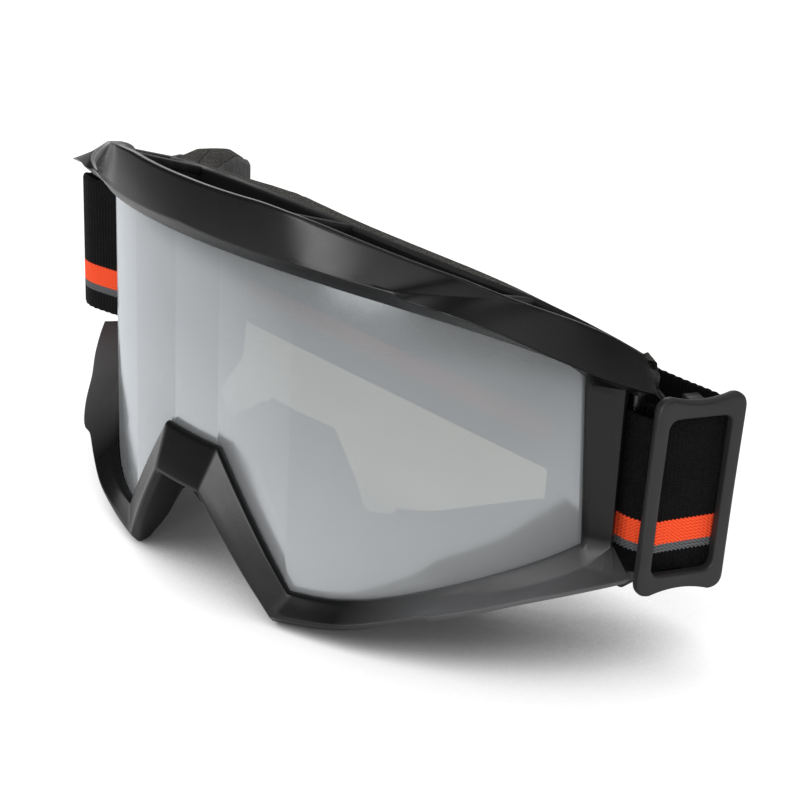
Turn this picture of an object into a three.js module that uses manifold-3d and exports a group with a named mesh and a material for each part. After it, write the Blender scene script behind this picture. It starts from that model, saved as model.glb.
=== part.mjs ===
// Motorcycle goggles, in millimetres. +Z is up, -Y is where the wearer looks, +X is the wearer's left.
// Everything is drawn from the front-most point of the lens, on the centre line, near its middle height;
// the last lines move the origin to the middle of the footprint. Most of the frame is drawn "unrolled":
// s runs along the lens's curve from the centre line, z is the height, and rho is how far a point stands
// in front of the lens's outer surface.
import * as THREE from 'three';
import { mergeVertices } from 'three/addons/utils/BufferGeometryUtils.js';
import Module from 'manifold-3d';

const wasm = await Module();
wasm.setup();

// Lens: part of an upright cylinder.
const LENS_RADIUS = 76;
const LENS_THICKNESS = 2;
const LENS_UNDER_LIP = 3;
const GAP = 0.3;
const SEAL_THICKNESS = 0.7;
const SEAT_BACK = -5;

// The visible opening of the lens, on one half.
const OPENING_TOP = 28.5;
const OPENING_SIDE = 85.5;
const OPENING_SIDE_LEAN = 2.3;
const OPENING_CORNER_TOP = 10.4;
const OPENING_CORNER_BOTTOM = -26.4;
const RAIL_INNER_CORNER = [26, -41.8];
const NOSE_TOP_CORNER = [8.2, -14.4];

// Face side: the flange lies on a flatter cylinder behind the lens.
const FACE_RADIUS = 80;
const FACE_DEPTH = 18;
const FLANGE_THICKNESS = 2;
const FLANGE_WIDTH = 9;
const NOSE_NARROWING = 0.4;
const FLANGE_HALF_WIDTH = 68;
const FLANGE_CORNER_TOP = 11;
const FLANGE_CORNER_BOTTOM = -30;

// Strap, sliders and the pins that hold the strap.
const STRAP_WIDTH = 34;
const STRAP_THICKNESS = 1.2;
const STRAP_TOP = 4.5;
const STRAP_MIDDLE = STRAP_TOP - STRAP_WIDTH / 2;
const STRAP_LIFT_LEFT = -1.4;
const STRAP_LIFT_RIGHT = 1.8;
const STRAP_LEVEL_FROM = 70;
const PIN_X = 73;
const PIN_Y = 51;
const PIN_RADIUS = 1.5;
const LUG_HEIGHT = 4.2;
const PIN_SPARE = 2;
const SLIDER_HEIGHT = 43;
const SLIDER_WIDTH = 19.4;
const SLIDER_THICKNESS = 2.4;
const REAR_RUN_Y = 68.8;

const MATERIALS = {
  gloss: { color: 0x17181a, roughness: 0.3, metalness: 0 },
  matte: { color: 0x232426, roughness: 0.6, metalness: 0 },
  buckle: { color: 0x37393c, roughness: 0.55, metalness: 0 },
  lens: { color: 0xa9b0b4, roughness: 0.05, metalness: 0.9 },
  rubber: { color: 0x1b1b1b, roughness: 0.8, metalness: 0 },
  ventFoam: { color: 0x34312b, roughness: 1, metalness: 0 },
  faceFoam: { color: 0x2a2825, roughness: 1, metalness: 0 },
  fleece: { color: 0x1d1c1b, roughness: 1, metalness: 0 },
  webbing: { color: 0x141415, roughness: 0.95, metalness: 0 },
  silicone: { color: 0x202022, roughness: 0.35, metalness: 0 },
  steel: { color: 0x8d9093, roughness: 0.35, metalness: 1 },
};

// ---------- small tools ----------

// A value that runs in straight lines between [at, value] keys.
function between(keys, at) {
  if (at <= keys[0][0]) return keys[0][1];
  for (let i = 1; i < keys.length; i += 1) {
    const [from, low] = keys[i - 1];
    const [to, high] = keys[i];
    if (at <= to) return THREE.MathUtils.lerp(low, high, (at - from) / (to - from));
  }
  return keys[keys.length - 1][1];
}

// A point of the unrolled lens surface, bent back onto the cylinder.
function wrap(s, z, rho) {
  const angle = s / LENS_RADIUS;
  const radius = LENS_RADIUS + rho;
  return new THREE.Vector3(radius * Math.sin(angle), LENS_RADIUS - radius * Math.cos(angle), z);
}

// The flange's surface, in front of the wearer's face.
function faceY(x) {
  return FACE_DEPTH + FACE_RADIUS - Math.sqrt(FACE_RADIUS ** 2 - x ** 2);
}

function geometryFrom(points, triangles) {
  const geometry = new THREE.BufferGeometry();
  const values = points.flatMap((point) => point.toArray());
  geometry.setAttribute('position', new THREE.Float32BufferAttribute(values, 3));
  geometry.setIndex(triangles);
  return volumeOf(geometry) < 0 ? flipped(geometry) : geometry;
}

function volumeOf(geometry) {
  const position = geometry.getAttribute('position');
  const index = geometry.getIndex().array;
  const corners = [new THREE.Vector3(), new THREE.Vector3(), new THREE.Vector3()];
  let sum = 0;
  for (let i = 0; i < index.length; i += 3) {
    corners.forEach((corner, k) => corner.fromBufferAttribute(position, index[i + k]));
    sum += corners[0].dot(corners[1].cross(corners[2])) / 6;
  }
  return sum;
}

function flipped(geometry) {
  const index = Array.from(geometry.getIndex().array);
  for (let i = 0; i < index.length; i += 3) [index[i], index[i + 1]] = [index[i + 1], index[i]];
  geometry.setIndex(index);
  return geometry;
}

// A skin over equal-sized cross-sections; a closed run joins its last section to its first.
function loft(sections, closed) {
  const size = sections[0].length;
  const triangles = [];
  const joins = closed ? sections.length : sections.length - 1;
  for (let i = 0; i < joins; i += 1) {
    const here = i * size;
    const next = ((i + 1) % sections.length) * size;
    for (let k = 0; k < size; k += 1) {
      const after = (k + 1) % size;
      triangles.push(here + k, here + after, next + after, here + k, next + after, next + k);
    }
  }
  if (!closed) {
    const last = (sections.length - 1) * size;
    for (let k = 1; k < size - 1; k += 1) {
      triangles.push(0, k + 1, k, last, last + k, last + k + 1);
    }
  }
  return geometryFrom(sections.flat(), triangles);
}

function solidOf(geometry) {
  const plain = new THREE.BufferGeometry();
  plain.setAttribute('position', geometry.getAttribute('position').clone());
  if (geometry.getIndex()) plain.setIndex(Array.from(geometry.getIndex().array));
  const merged = mergeVertices(plain, 1e-4);
  return new wasm.Manifold(new wasm.Mesh({
    numProp: 3,
    vertProperties: new Float32Array(merged.getAttribute('position').array),
    triVerts: new Uint32Array(merged.getIndex().array),
  }));
}

function geometryOf(solid) {
  const mesh = solid.getMesh();
  const geometry = new THREE.BufferGeometry();
  geometry.setAttribute('position', new THREE.Float32BufferAttribute(mesh.vertProperties, 3));
  geometry.setIndex(Array.from(mesh.triVerts));
  return geometry;
}

function cut(geometry, ...tools) {
  return geometryOf(tools.reduce((solid, tool) => solid.subtract(solidOf(tool)), solidOf(geometry)));
}

function joined(...geometries) {
  return geometryOf(geometries.map(solidOf).reduce((a, b) => a.add(b)));
}

function mirrored(geometry) {
  const copy = mergeVertices(geometry.clone().deleteAttribute('normal').deleteAttribute('uv'), 1e-4);
  return flipped(copy.scale(-1, 1, 1));
}

function boxBetween(from, to, width, height) {
  const along = new THREE.Vector3().subVectors(to, from);
  const box = new THREE.BoxGeometry(width, height, along.length());
  box.lookAt(along);
  const middle = new THREE.Vector3().addVectors(from, to).multiplyScalar(0.5);
  return box.translate(middle.x, middle.y, middle.z);
}

// ---------- stations round the lens opening ----------

function openingTop(s) {
  return OPENING_TOP - 0.0019 * s ** 2 - 8e-8 * s ** 4;
}

// The lower rail curves out of its inner corner, then climbs in a straight line.
function openingBottom(s) {
  const [cornerS, cornerZ] = RAIL_INNER_CORNER;
  const bend = 48;
  const curved = cornerZ + 0.0068 * (Math.min(s, bend) - cornerS) ** 2;
  return curved + 0.315 * Math.max(0, s - bend);
}

// The side leans: its top stands nearer the centre than its foot.
function openingSide(z) {
  const share = (z - OPENING_CORNER_BOTTOM) / (OPENING_CORNER_TOP - OPENING_CORNER_BOTTOM);
  return OPENING_SIDE - OPENING_SIDE_LEAN * share;
}

// Each station is a place on the opening: s and z there, the zone it is in, and the outward direction.
function halfStations() {
  const miter = [-0.544, -1];
  const [noseS, noseZ] = NOSE_TOP_CORNER;
  const [railS, railZ] = RAIL_INNER_CORNER;
  const brow = [0, 8, 16, 24, 32, 40, 46, 48, 56, 64, 72, 79].map((s) => (
    { zone: 'brow', s, z: openingTop(s), out: [0, 1] }));
  const corner = { zone: 'brow', s: openingSide(OPENING_CORNER_TOP), z: OPENING_CORNER_TOP, out: [1, 1] };
  const post = [OPENING_CORNER_TOP - 1, -8, OPENING_CORNER_BOTTOM + 1].map((z) => (
    { zone: 'post', s: openingSide(z), z, out: [1, 0] }));
  const heel = { zone: 'rail', s: OPENING_SIDE, z: OPENING_CORNER_BOTTOM, out: [1, -1] };
  const rail = [78, 70, 62, 56, 54, 48, 41, 33].map((s) => (
    { zone: 'rail', s, z: openingBottom(s), out: [0, -1] }));
  const toe = { zone: 'rail', s: railS, z: railZ, out: miter };
  const side = [0.33, 0.67].map((share) => ({
    zone: 'nose',
    s: THREE.MathUtils.lerp(railS, noseS, share),
    z: THREE.MathUtils.lerp(railZ, noseZ, share),
    out: [-0.84, -0.543],
  }));
  const bridge = { zone: 'nose', s: noseS, z: noseZ, out: miter };
  const centre = { zone: 'nose', s: 0, z: noseZ, out: [0, -1] };
  return [...brow, corner, ...post, heel, ...rail, toe, ...side, bridge, centre];
}

function mirrorStation(station) {
  return { ...station, s: -station.s, out: [-station.out[0], station.out[1]] };
}

function allStations() {
  const half = halfStations();
  return [...half, ...half.slice(1, -1).reverse().map(mirrorStation)];
}

// A point that stands a distance outside the opening's edge.
function beside(station, distance, rho) {
  return wrap(station.s + station.out[0] * distance, station.z + station.out[1] * distance, rho);
}

// Sections are drawn for the wearer's left half, then mirrored for stations on the right.
function onBothHalves(section) {
  return (station) => {
    if (station.s >= 0) return section(station, 1);
    return section(mirrorStation(station), -1).map((p) => new THREE.Vector3(-p.x, p.y, p.z));
  };
}

function ring(section) {
  return loft(allStations().map(onBothHalves(section)), true);
}

function stretch(section, stations) {
  return loft(stations.map(onBothHalves(section)), false);
}

// ---------- front frame ----------

// Brow: a lip over the lens, a crease, and a slanted panel that rises from the crease to the top rim.
const CREASE_RHO = [
  [0, 4.4], [40, 4.2], [46, 4.9], [48, 6.2], [56, 8], [64, 10.5], [72, 13.8], [79, 17], [88, 20.5],
];
const CREASE_Z = [[0, 32.7], [24, 31.2], [46, 28.2], [56, 26.4], [64, 24.2], [72, 21], [79, 18], [88, 14.8]];
const CREASE_LEAD = [[0, 0], [64, 0], [72, 1], [79, 2.8], [83.2, 4.8]];
const RIM_RHO = [[0, 3.2], [24, 3.4], [38, 1.4], [56, 0.8], [66, 2.2], [85, 6.2], [91, 12.5]];
const RIM_Z = [
  [0, 41.5], [16, 41.4], [28, 40], [38, 36.6], [48, 33.8],
  [58, 30.8], [66, 28.2], [80, 23.4], [86, 20.6], [91, 17.4],
];
const RIM_LEAD = [[0, 0], [30, 2], [46, 11], [56, 10], [72, 8], [83.2, 6.5]];

function browSection({ s, z }) {
  const creaseS = s + between(CREASE_LEAD, s);
  const rimS = s + between(RIM_LEAD, s);
  const rimRho = between(RIM_RHO, rimS);
  const rimZ = between(RIM_Z, rimS);
  const backZ = Math.min(z + 5, rimZ - 2.5);
  return [
    wrap(s, z, 0.9),
    wrap(s, z + 0.4, 1.7),
    wrap(creaseS, between(CREASE_Z, creaseS), between(CREASE_RHO, creaseS)),
    wrap(rimS, rimZ, rimRho),
    wrap(rimS, rimZ - 0.3, rimRho - 1.8),
    wrap(s + 3, backZ, Math.min(0.4, rimRho - 2.4)),
    wrap(s, backZ, SEAT_BACK),
    wrap(s, z, SEAT_BACK),
  ];
}

// Post: a flat upright bar that turns away from the lens, with a bevelled outer edge.
function postSection({ s, z }) {
  const outer = OPENING_SIDE + 4.2;
  return [
    wrap(s, z, 0.9),
    wrap(s + 0.5, z, 1.8),
    wrap(outer - 0.5, z, 5.6),
    wrap(outer + 0.4, z, 4.8),
    wrap(outer + 0.6, z, 2.8),
    wrap(outer, z, -1.5),
    wrap(outer - 0.2, z, SEAT_BACK),
    wrap(s, z, SEAT_BACK),
  ];
}

// Rail: a shelf below the lens. Its front ridge stands further out towards the temples, and ends in an ear.
const RAIL_EDGE_RHO = [[26, 2.8], [41, 5.4], [54, 7.4], [56, 8.5], [70, 10.2], [78, 12.6], [85.5, 15.5]];
const RAIL_EDGE_Z = [[26, -47.7], [41, -43.6], [54, -38.2], [56, -37.4], [70, -32.8], [85.5, -26.8]];
const RAIL_EAR = 3.2;
const RAIL_STEP_RHO = [[26, 1.5], [41, 2], [54, 2.4], [62, 3.2], [85.5, 3.6]];
const RAIL_STEP_DROP = [[26, 0.5], [48, 0.6], [56, 1.6], [70, 2.8], [85.5, 3.4]];

function railSection({ s, z }) {
  const corner = s === RAIL_INNER_CORNER[0];
  const edgeS = s + (corner ? -3.5 : RAIL_EAR * (s / OPENING_SIDE) ** 8);
  const edgeZ = between(RAIL_EDGE_Z, s);
  const edgeRho = between(RAIL_EDGE_RHO, s);
  return [
    wrap(s, z, 0.9),
    wrap(s, z - 0.3, 1.4),
    wrap(s, z - between(RAIL_STEP_DROP, s), between(RAIL_STEP_RHO, s)),
    wrap(edgeS, edgeZ, edgeRho),
    wrap(edgeS, edgeZ - 2.4, edgeRho - 2.2),
    wrap(edgeS, Math.min(edgeZ - 1.4, z - 4.4), -2),
    wrap(corner ? s - 2.2 : s, z - 4, SEAT_BACK),
    wrap(s, z, SEAT_BACK),
  ];
}

// Nose: the rail turns up on both sides of the nose and meets at a leaning bridge.
const NOSE_FOOT = new THREE.Vector2(22.5, -47.7);
const NOSE_BROW = new THREE.Vector2(6.4, -23.6);

function noseSection({ s, z, out }) {
  const share = (z - RAIL_INNER_CORNER[1]) / (NOSE_TOP_CORNER[1] - RAIL_INNER_CORNER[1]);
  const edge = new THREE.Vector2().lerpVectors(NOSE_FOOT, NOSE_BROW, share);
  if (s === 0) edge.x = 0;
  const rho = THREE.MathUtils.lerp(2.8, 5.4, share);
  const [outS, outZ] = out;
  return [
    wrap(s, z, 0.9),
    wrap(s + outS * 0.3, z + outZ * 0.3, 1.5),
    wrap(s + outS * 0.6, z + outZ * 0.6, 1.7),
    wrap(edge.x, edge.y, rho),
    wrap(edge.x - Math.sign(s) * 0.9, edge.y - 0.8, rho - 1),
    wrap(edge.x - Math.sign(s) * 0.9, edge.y - 0.8, -4),
    wrap(s + outS * 4, z + outZ * 4, SEAT_BACK - 3),
    wrap(s, z, SEAT_BACK),
  ];
}

const FRONT_SECTIONS = { brow: browSection, post: postSection, rail: railSection, nose: noseSection };

// An upright slab of the lens's shape, grown by a margin.
function lensSlab(margin, back, front, columns) {
  const grow = LENS_UNDER_LIP + margin;
  const half = halfStations();
  const toward = (station) => [station.s + station.out[0] * grow, station.z + station.out[1] * grow];
  const upper = half.filter((station) => station.zone === 'brow').map(toward);
  const lower = half.filter((station) => ['rail', 'nose'].includes(station.zone)).map(toward).reverse();
  const end = OPENING_SIDE + grow;
  const even = Array.from({ length: columns }, (_, i) => (end * i) / columns);
  const breaks = [...lower.map(([s]) => s), ...even];
  const places = [...new Set(breaks.map((s) => Math.round(s * 100) / 100))].sort((a, b) => a - b);
  const right = places.slice(1).reverse().map((s) => -s);
  const sections = [...right, ...places].map((s) => {
    const at = Math.abs(s);
    const [top, bottom] = [between(upper, at), between(lower, at)];
    return [wrap(s, bottom, back), wrap(s, bottom, front), wrap(s, top, front), wrap(s, top, back)];
  });
  return loft(sections, false);
}

function frontFrame() {
  const body = ring((station) => FRONT_SECTIONS[station.zone](station));
  const groove = lensSlab(GAP, -LENS_THICKNESS - SEAL_THICKNESS - 2 * GAP, GAP, 24);
  return cut(body, groove);
}

function lensSeal() {
  const front = -LENS_THICKNESS - GAP;
  return ring((station) => [
    beside(station, 0.4, front),
    beside(station, 2.6, front),
    beside(station, 2.6, front - SEAL_THICKNESS),
    beside(station, 0.4, front - SEAL_THICKNESS),
  ]);
}

// ---------- face frame ----------

// Where the flange's outer edge lies for a station of the opening, as x and z.
const FLANGE_BOTTOM = [[20, -45], [30, -43.5], [45, -38.5], [FLANGE_HALF_WIDTH, -31]];

function flangeTop(x) {
  return 35 - 0.0039 * x ** 2 - 0.018 * Math.max(0, x - 52) ** 2;
}

function flangeEdge({ zone, s, z }) {
  const x = Math.min(FLANGE_HALF_WIDTH, (FLANGE_HALF_WIDTH * s) / openingSide(z));
  if (zone === 'brow') return [x, flangeTop(x)];
  if (zone === 'post') {
    const share = (z - OPENING_CORNER_BOTTOM) / (OPENING_CORNER_TOP - OPENING_CORNER_BOTTOM);
    return [x, THREE.MathUtils.lerp(FLANGE_CORNER_BOTTOM, FLANGE_CORNER_TOP, share)];
  }
  if (zone === 'rail') return [x, between(FLANGE_BOTTOM, x)];
  const share = (z - RAIL_INNER_CORNER[1]) / (NOSE_TOP_CORNER[1] - RAIL_INNER_CORNER[1]);
  return [THREE.MathUtils.lerp(20, 7.5, share) * Math.sign(s), THREE.MathUtils.lerp(-45, -23, share)];
}

// The flange's outline moved inward; it keeps its corners at the temples.
function insetEdge(station, inward) {
  const [x, z] = flangeEdge(station);
  const [outX, outZ] = station.out;
  if (station.zone === 'nose') {
    return [x - outX * inward * NOSE_NARROWING, z - outZ * inward * NOSE_NARROWING];
  }
  if (station.zone === 'post') {
    const [low, high] = [FLANGE_CORNER_BOTTOM + inward, FLANGE_CORNER_TOP - inward];
    return [x - inward, THREE.MathUtils.clamp(z, low, high)];
  }
  return [Math.min(x - outX * inward, FLANGE_HALF_WIDTH - inward), z - outZ * inward];
}

// A point on the face side: inward from the flange's edge, and a depth behind its rear surface.
function faceward(station, inward, depth) {
  const [x, z] = insetEdge(station, inward);
  return new THREE.Vector3(x, faceY(x) + depth, z);
}

const TUBE_FRONT = SEAT_BACK - 0.4;

// The tube meets the flange near its inner edge above and below, and near its outer edge at the temples.
function tubeRoot(station) {
  const atTemple = Math.abs(station.out[0]) === 1;
  return faceward(station, atTemple ? 1 : FLANGE_WIDTH - 2, -FLANGE_THICKNESS);
}

function tubeSection(station) {
  const front = station.zone === 'nose' ? TUBE_FRONT - 3.2 : TUBE_FRONT;
  return [
    beside(station, 0.8, front),
    beside(station, 2.2, front),
    tubeRoot(station),
    faceward(station, 0, -FLANGE_THICKNESS),
    faceward(station, 0, 0),
    faceward(station, FLANGE_WIDTH, 0),
  ];
}

// Struts carry the top rim; they cross the open channel between the rim and the flange.
function strut(s) {
  const rimS = s * 0.98;
  const from = wrap(rimS, between(RIM_Z, rimS) - 2.4, between(RIM_RHO, rimS) - 3.6);
  const x = from.x * 0.97;
  const to = new THREE.Vector3(x, faceY(x) - 1, flangeTop(x) - 1);
  return boxBetween(from, to, 2.6, 1.8);
}

// A lug holds one end of a strap pin, on an arm that reaches out from the tube's temple wall.
function pinLug(z, wallReach) {
  const low = Math.min(z - LUG_HEIGHT / 2, wallReach);
  const high = Math.max(z + LUG_HEIGHT / 2, wallReach);
  const armY = PIN_Y + 0.2;
  const head = new THREE.BoxGeometry(5.8, 6, LUG_HEIGHT).translate(PIN_X + 0.3, PIN_Y + 0.1, z);
  const arm = new THREE.BoxGeometry(5, 3.2, LUG_HEIGHT).translate(PIN_X - 4.1, armY, z);
  const riser = new THREE.BoxGeometry(2.6, 3.2, high - low).translate(PIN_X - 5.3, armY, (high + low) / 2);
  const hole = new THREE.CylinderGeometry(PIN_RADIUS + 0.35, PIN_RADIUS + 0.35, LUG_HEIGHT + 2, 20);
  return cut(joined(head, arm, riser), hole.rotateX(Math.PI / 2).translate(PIN_X, PIN_Y, z));
}

// Air slots through the tube's wall, one row above the lens and one below.
function ventSlot(s, z) {
  const outer = wrap(s, z, -11);
  const slot = new THREE.BoxGeometry(9, 5, 12);
  return slot.rotateZ(s / LENS_RADIUS).translate(outer.x, outer.y, outer.z);
}

const LUG_TOP = STRAP_TOP + PIN_SPARE + LUG_HEIGHT / 2;
const LUG_BOTTOM = STRAP_TOP - STRAP_WIDTH - PIN_SPARE - LUG_HEIGHT / 2;
const WALL_TOP = 4;
const WALL_BOTTOM = -23;

function faceFrame() {
  const struts = [24, 66].flatMap((s) => [strut(s), mirrored(strut(s))]);
  const lugs = [pinLug(LUG_TOP, WALL_TOP), pinLug(LUG_BOTTOM, WALL_BOTTOM)];
  const topSlots = [-54, -40, -26, -12, 12, 26, 40, 54].map((s) => ventSlot(s, openingTop(Math.abs(s)) + 1));
  const lowSlots = [-64, -52, -40, 40, 52, 64].map((s) => ventSlot(s, openingBottom(Math.abs(s)) - 1));
  const tube = cut(ring(tubeSection), ...topSlots, ...lowSlots);
  return joined(tube, ...struts, ...lugs, ...lugs.map(mirrored));
}

// ---------- foams ----------

function ventFoamSection(rise, rootSide) {
  return (station) => [
    beside(station, rise[0], TUBE_FRONT - 0.6),
    beside(station, rise[1], TUBE_FRONT - 0.6),
    faceward(station, rootSide, -FLANGE_THICKNESS - 0.5),
    faceward(station, FLANGE_WIDTH - 2.9, -FLANGE_THICKNESS - 0.5),
  ];
}

function topVentFoam() {
  const half = halfStations().filter((station) => station.zone === 'brow' && station.s <= 64);
  const stations = [...half.slice(1).reverse().map(mirrorStation), ...half];
  return stretch(ventFoamSection([3.5, 5.2], 3.2), stations);
}

function bottomVentFoam() {
  const rail = halfStations().filter((station) => station.zone === 'rail');
  const vented = rail.filter((station) => station.s >= 33 && station.s <= 70);
  return stretch(ventFoamSection([4.6, 6.5], 1.5), vented);
}

// How far the pad's outer side leans in over its full depth.
const FOAM_DEPTH = 12;
const BROW_LEAN = [[0, 3.6], [25, 4.6], [50, 4.4], [70, 7]];
const SIDE_LEAN = 1.6;

// The pad on the right temple stands prouder than the rest, and its top edge arches.
const TEMPLE_START = 44;
const TEMPLE_END = 58;
const TEMPLE_EXTRA = 9.3;
const TEMPLE_BACK_Y = 66.4;

function templeShare(x, half) {
  return half < 0 ? THREE.MathUtils.smoothstep(Math.abs(x), TEMPLE_START, TEMPLE_END) : 0;
}

function foamPoint(station, half, inward, depth) {
  const [x, edgeZ] = insetEdge(station, inward);
  const share = templeShare(x, half);
  const proud = FOAM_DEPTH + TEMPLE_EXTRA * share;
  const reach = share > 0 ? Math.min(proud, TEMPLE_BACK_Y - faceY(x)) : proud;
  const behind = (depth / FOAM_DEPTH) * reach;
  const atBrow = station.zone === 'brow';
  const lean = atBrow ? (between(BROW_LEAN, station.s) * depth * (1 - share)) / FOAM_DEPTH : 0;
  const arch = atBrow ? (0.4 * behind - 0.0275 * behind ** 2) * share : 0;
  return new THREE.Vector3(x, faceY(x) + behind, edgeZ - lean + arch);
}

function foamLayer(from, to, inset, crown) {
  return ring((station, half) => {
    const lean = station.zone === 'brow' ? 0 : SIDE_LEAN / FOAM_DEPTH;
    return [
      foamPoint(station, half, inset + lean * from, from),
      foamPoint(station, half, inset + crown + lean * to, to),
      foamPoint(station, half, FLANGE_WIDTH + lean * to - crown, to),
      foamPoint(station, half, FLANGE_WIDTH + 1 + lean * from, from),
    ];
  });
}

// ---------- strap ----------

// Each side of the strap: where its slider sits, how far the slider has slipped up the webbing's width,
// and the way the webbing runs through it, seen from above.
// The left side lies close to the frame; the right side is let out and folds back on itself.
const LEFT = {
  sign: 1,
  slider: new THREE.Vector2(85.1, 55),
  slip: 1,
  heading: 23,
  entry: -6.5,
  approach: [[PIN_X, 48.6], [76.4, 48.3]],
};
const RIGHT = {
  sign: -1,
  slider: new THREE.Vector2(90.3, 59.6),
  slip: 0,
  heading: -41,
  entry: -10.2,
  approach: [[PIN_X, 48.6], [78, 48], [88, 45.6], [95.5, 44.7], [98.6, 46.2]],
};

// Axes of a slider seen from above: along the webbing, and outward through its window.
function sliderAxes({ heading }) {
  const angle = THREE.MathUtils.degToRad(heading);
  return {
    along: new THREE.Vector2(Math.sin(angle), Math.cos(angle)),
    outward: new THREE.Vector2(Math.cos(angle), -Math.sin(angle)),
  };
}

function atSlider(side, u, w) {
  const { along, outward } = sliderAxes(side);
  return side.slider.clone().addScaledVector(along, u).addScaledVector(outward, w);
}

const BAR_WIDTH = 2.8;
const STRAP_LEVEL = -SLIDER_THICKNESS / 2 - GAP - STRAP_THICKNESS / 2;
const CENTRE_BAR_TOP = STRAP_LEVEL - STRAP_THICKNESS / 2 - GAP;
const CENTRE_BAR_THICKNESS = 1.8;
const CENTRE_BAR_WIDTH = 3.5;
const FOOT_SPARE = 1.2;
const SLIDER_DIP = 1.1;
const SLIDER_TILT = 1.5;

// The slider in its own frame: x outward, y along the webbing, z up.
function slider(side) {
  const halfHeight = SLIDER_HEIGHT / 2;
  const halfWidth = SLIDER_WIDTH / 2;
  const outline = roundedPlate(halfWidth, halfHeight, 2.6, SLIDER_DIP);
  outline.holes.push(roundedPlate(halfWidth - BAR_WIDTH, STRAP_WIDTH / 2, 2.4, 0));
  const flat = { depth: SLIDER_THICKNESS, bevelEnabled: false, curveSegments: 5 };
  const plate = new THREE.ExtrudeGeometry(outline, flat);
  plate.rotateX(Math.PI / 2).rotateZ(Math.PI / 2).translate(-SLIDER_THICKNESS / 2, 0, 0);
  const barHalf = halfHeight - SLIDER_DIP - 0.5;
  const footHeight = barHalf - STRAP_WIDTH / 2 - FOOT_SPARE;
  const barBack = CENTRE_BAR_TOP - CENTRE_BAR_THICKNESS;
  const feet = [1, -1].map((end) => new THREE.BoxGeometry(
    SLIDER_THICKNESS / 2 - barBack, CENTRE_BAR_WIDTH, footHeight,
  ).translate((barBack + SLIDER_THICKNESS / 2) / 2, 0, end * (barHalf - footHeight / 2)));
  const bar = new THREE.BoxGeometry(CENTRE_BAR_THICKNESS, CENTRE_BAR_WIDTH, 2 * barHalf)
    .translate(CENTRE_BAR_TOP - CENTRE_BAR_THICKNESS / 2, 0, 0);
  const whole = joined(plate, bar, ...feet);
  whole.rotateX(-THREE.MathUtils.degToRad(SLIDER_TILT));
  whole.rotateZ(-THREE.MathUtils.degToRad(side.heading));
  const level = STRAP_MIDDLE + strapLift(side.sign * side.slider.x) + side.slip;
  whole.translate(side.slider.x, side.slider.y, level);
  return side.sign > 0 ? whole : mirrored(whole);
}

// A rounded rectangle whose short ends dip inward.
function roundedPlate(halfWidth, halfHeight, corner, dip) {
  const shape = new THREE.Shape();
  shape.moveTo(-halfWidth + corner, -halfHeight);
  shape.quadraticCurveTo(0, -halfHeight + 2 * dip, halfWidth - corner, -halfHeight);
  shape.quadraticCurveTo(halfWidth, -halfHeight, halfWidth, -halfHeight + corner);
  shape.lineTo(halfWidth, halfHeight - corner);
  shape.quadraticCurveTo(halfWidth, halfHeight, halfWidth - corner, halfHeight);
  shape.quadraticCurveTo(0, halfHeight - 2 * dip, -halfWidth + corner, halfHeight);
  shape.quadraticCurveTo(-halfWidth, halfHeight, -halfWidth, halfHeight - corner);
  shape.lineTo(-halfWidth, -halfHeight + corner);
  shape.quadraticCurveTo(-halfWidth, -halfHeight, -halfWidth + corner, -halfHeight);
  return shape;
}

// The strap hangs a little askew: lower on the left than on the right.
function strapLift(x) {
  const share = THREE.MathUtils.clamp((x / STRAP_LEVEL_FROM + 1) / 2, 0, 1);
  return THREE.MathUtils.lerp(STRAP_LIFT_RIGHT, STRAP_LIFT_LEFT, share);
}

// Webbing laid along a path seen from above, standing upright. The sign tells which side it is on.
function webbing(path, sign) {
  const sides = path.map((point, i) => {
    const before = path[Math.max(0, i - 1)];
    const after = path[Math.min(path.length - 1, i + 1)];
    const normal = new THREE.Vector2(after.y - before.y, before.x - after.x).normalize();
    return [1, -1].map((way) => point.clone().addScaledVector(normal, way * STRAP_THICKNESS / 2));
  });
  const sections = sides.map(([near, far], i) => {
    const top = STRAP_TOP + strapLift(path[i].x * sign);
    return [
      new THREE.Vector3(near.x, near.y, top - STRAP_WIDTH),
      new THREE.Vector3(near.x, near.y, top),
      new THREE.Vector3(far.x, far.y, top),
      new THREE.Vector3(far.x, far.y, top - STRAP_WIDTH),
    ];
  });
  return loft(sections, false);
}

// The webbing comes from the slider's centre bar, turns round the pin and runs back out through the slider.
function sideStrap(side) {
  const turn = PIN_Y - 48.6;
  const start = atSlider(side, 2, CENTRE_BAR_TOP - CENTRE_BAR_THICKNESS - STRAP_THICKNESS);
  const leave = new THREE.Vector2(PIN_X + 0.4, PIN_Y + turn);
  const round = Array.from({ length: 9 }, (_, i) => {
    const angle = Math.PI / 2 + (Math.PI * (i + 0.5)) / 9.5;
    return new THREE.Vector2(PIN_X + turn * Math.cos(angle), PIN_Y + turn * Math.sin(angle));
  });
  const out = side.approach.map(([x, y]) => new THREE.Vector2(x, y));
  const underBars = [side.entry, side.entry + 2.7, 8.5].map((u) => atSlider(side, u, STRAP_LEVEL));
  const bends = new THREE.CatmullRomCurve3(
    [...out, ...underBars].map((p) => new THREE.Vector3(p.x, p.y, 0)), false, 'centripetal',
  ).getPoints(26).map((p) => new THREE.Vector2(p.x, p.y));
  const geometry = webbing([start, leave, ...round, ...bends], side.sign);
  return side.sign > 0 ? geometry : mirrored(geometry);
}

const REAR_LEFT_END = 79;
const REAR_RIGHT_END = -70;

function rearStrap() {
  const path = Array.from({ length: 9 }, (_, i) => (
    new THREE.Vector2(THREE.MathUtils.lerp(REAR_RIGHT_END, REAR_LEFT_END, i / 8), REAR_RUN_Y)));
  return webbing(path, 1);
}

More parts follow.
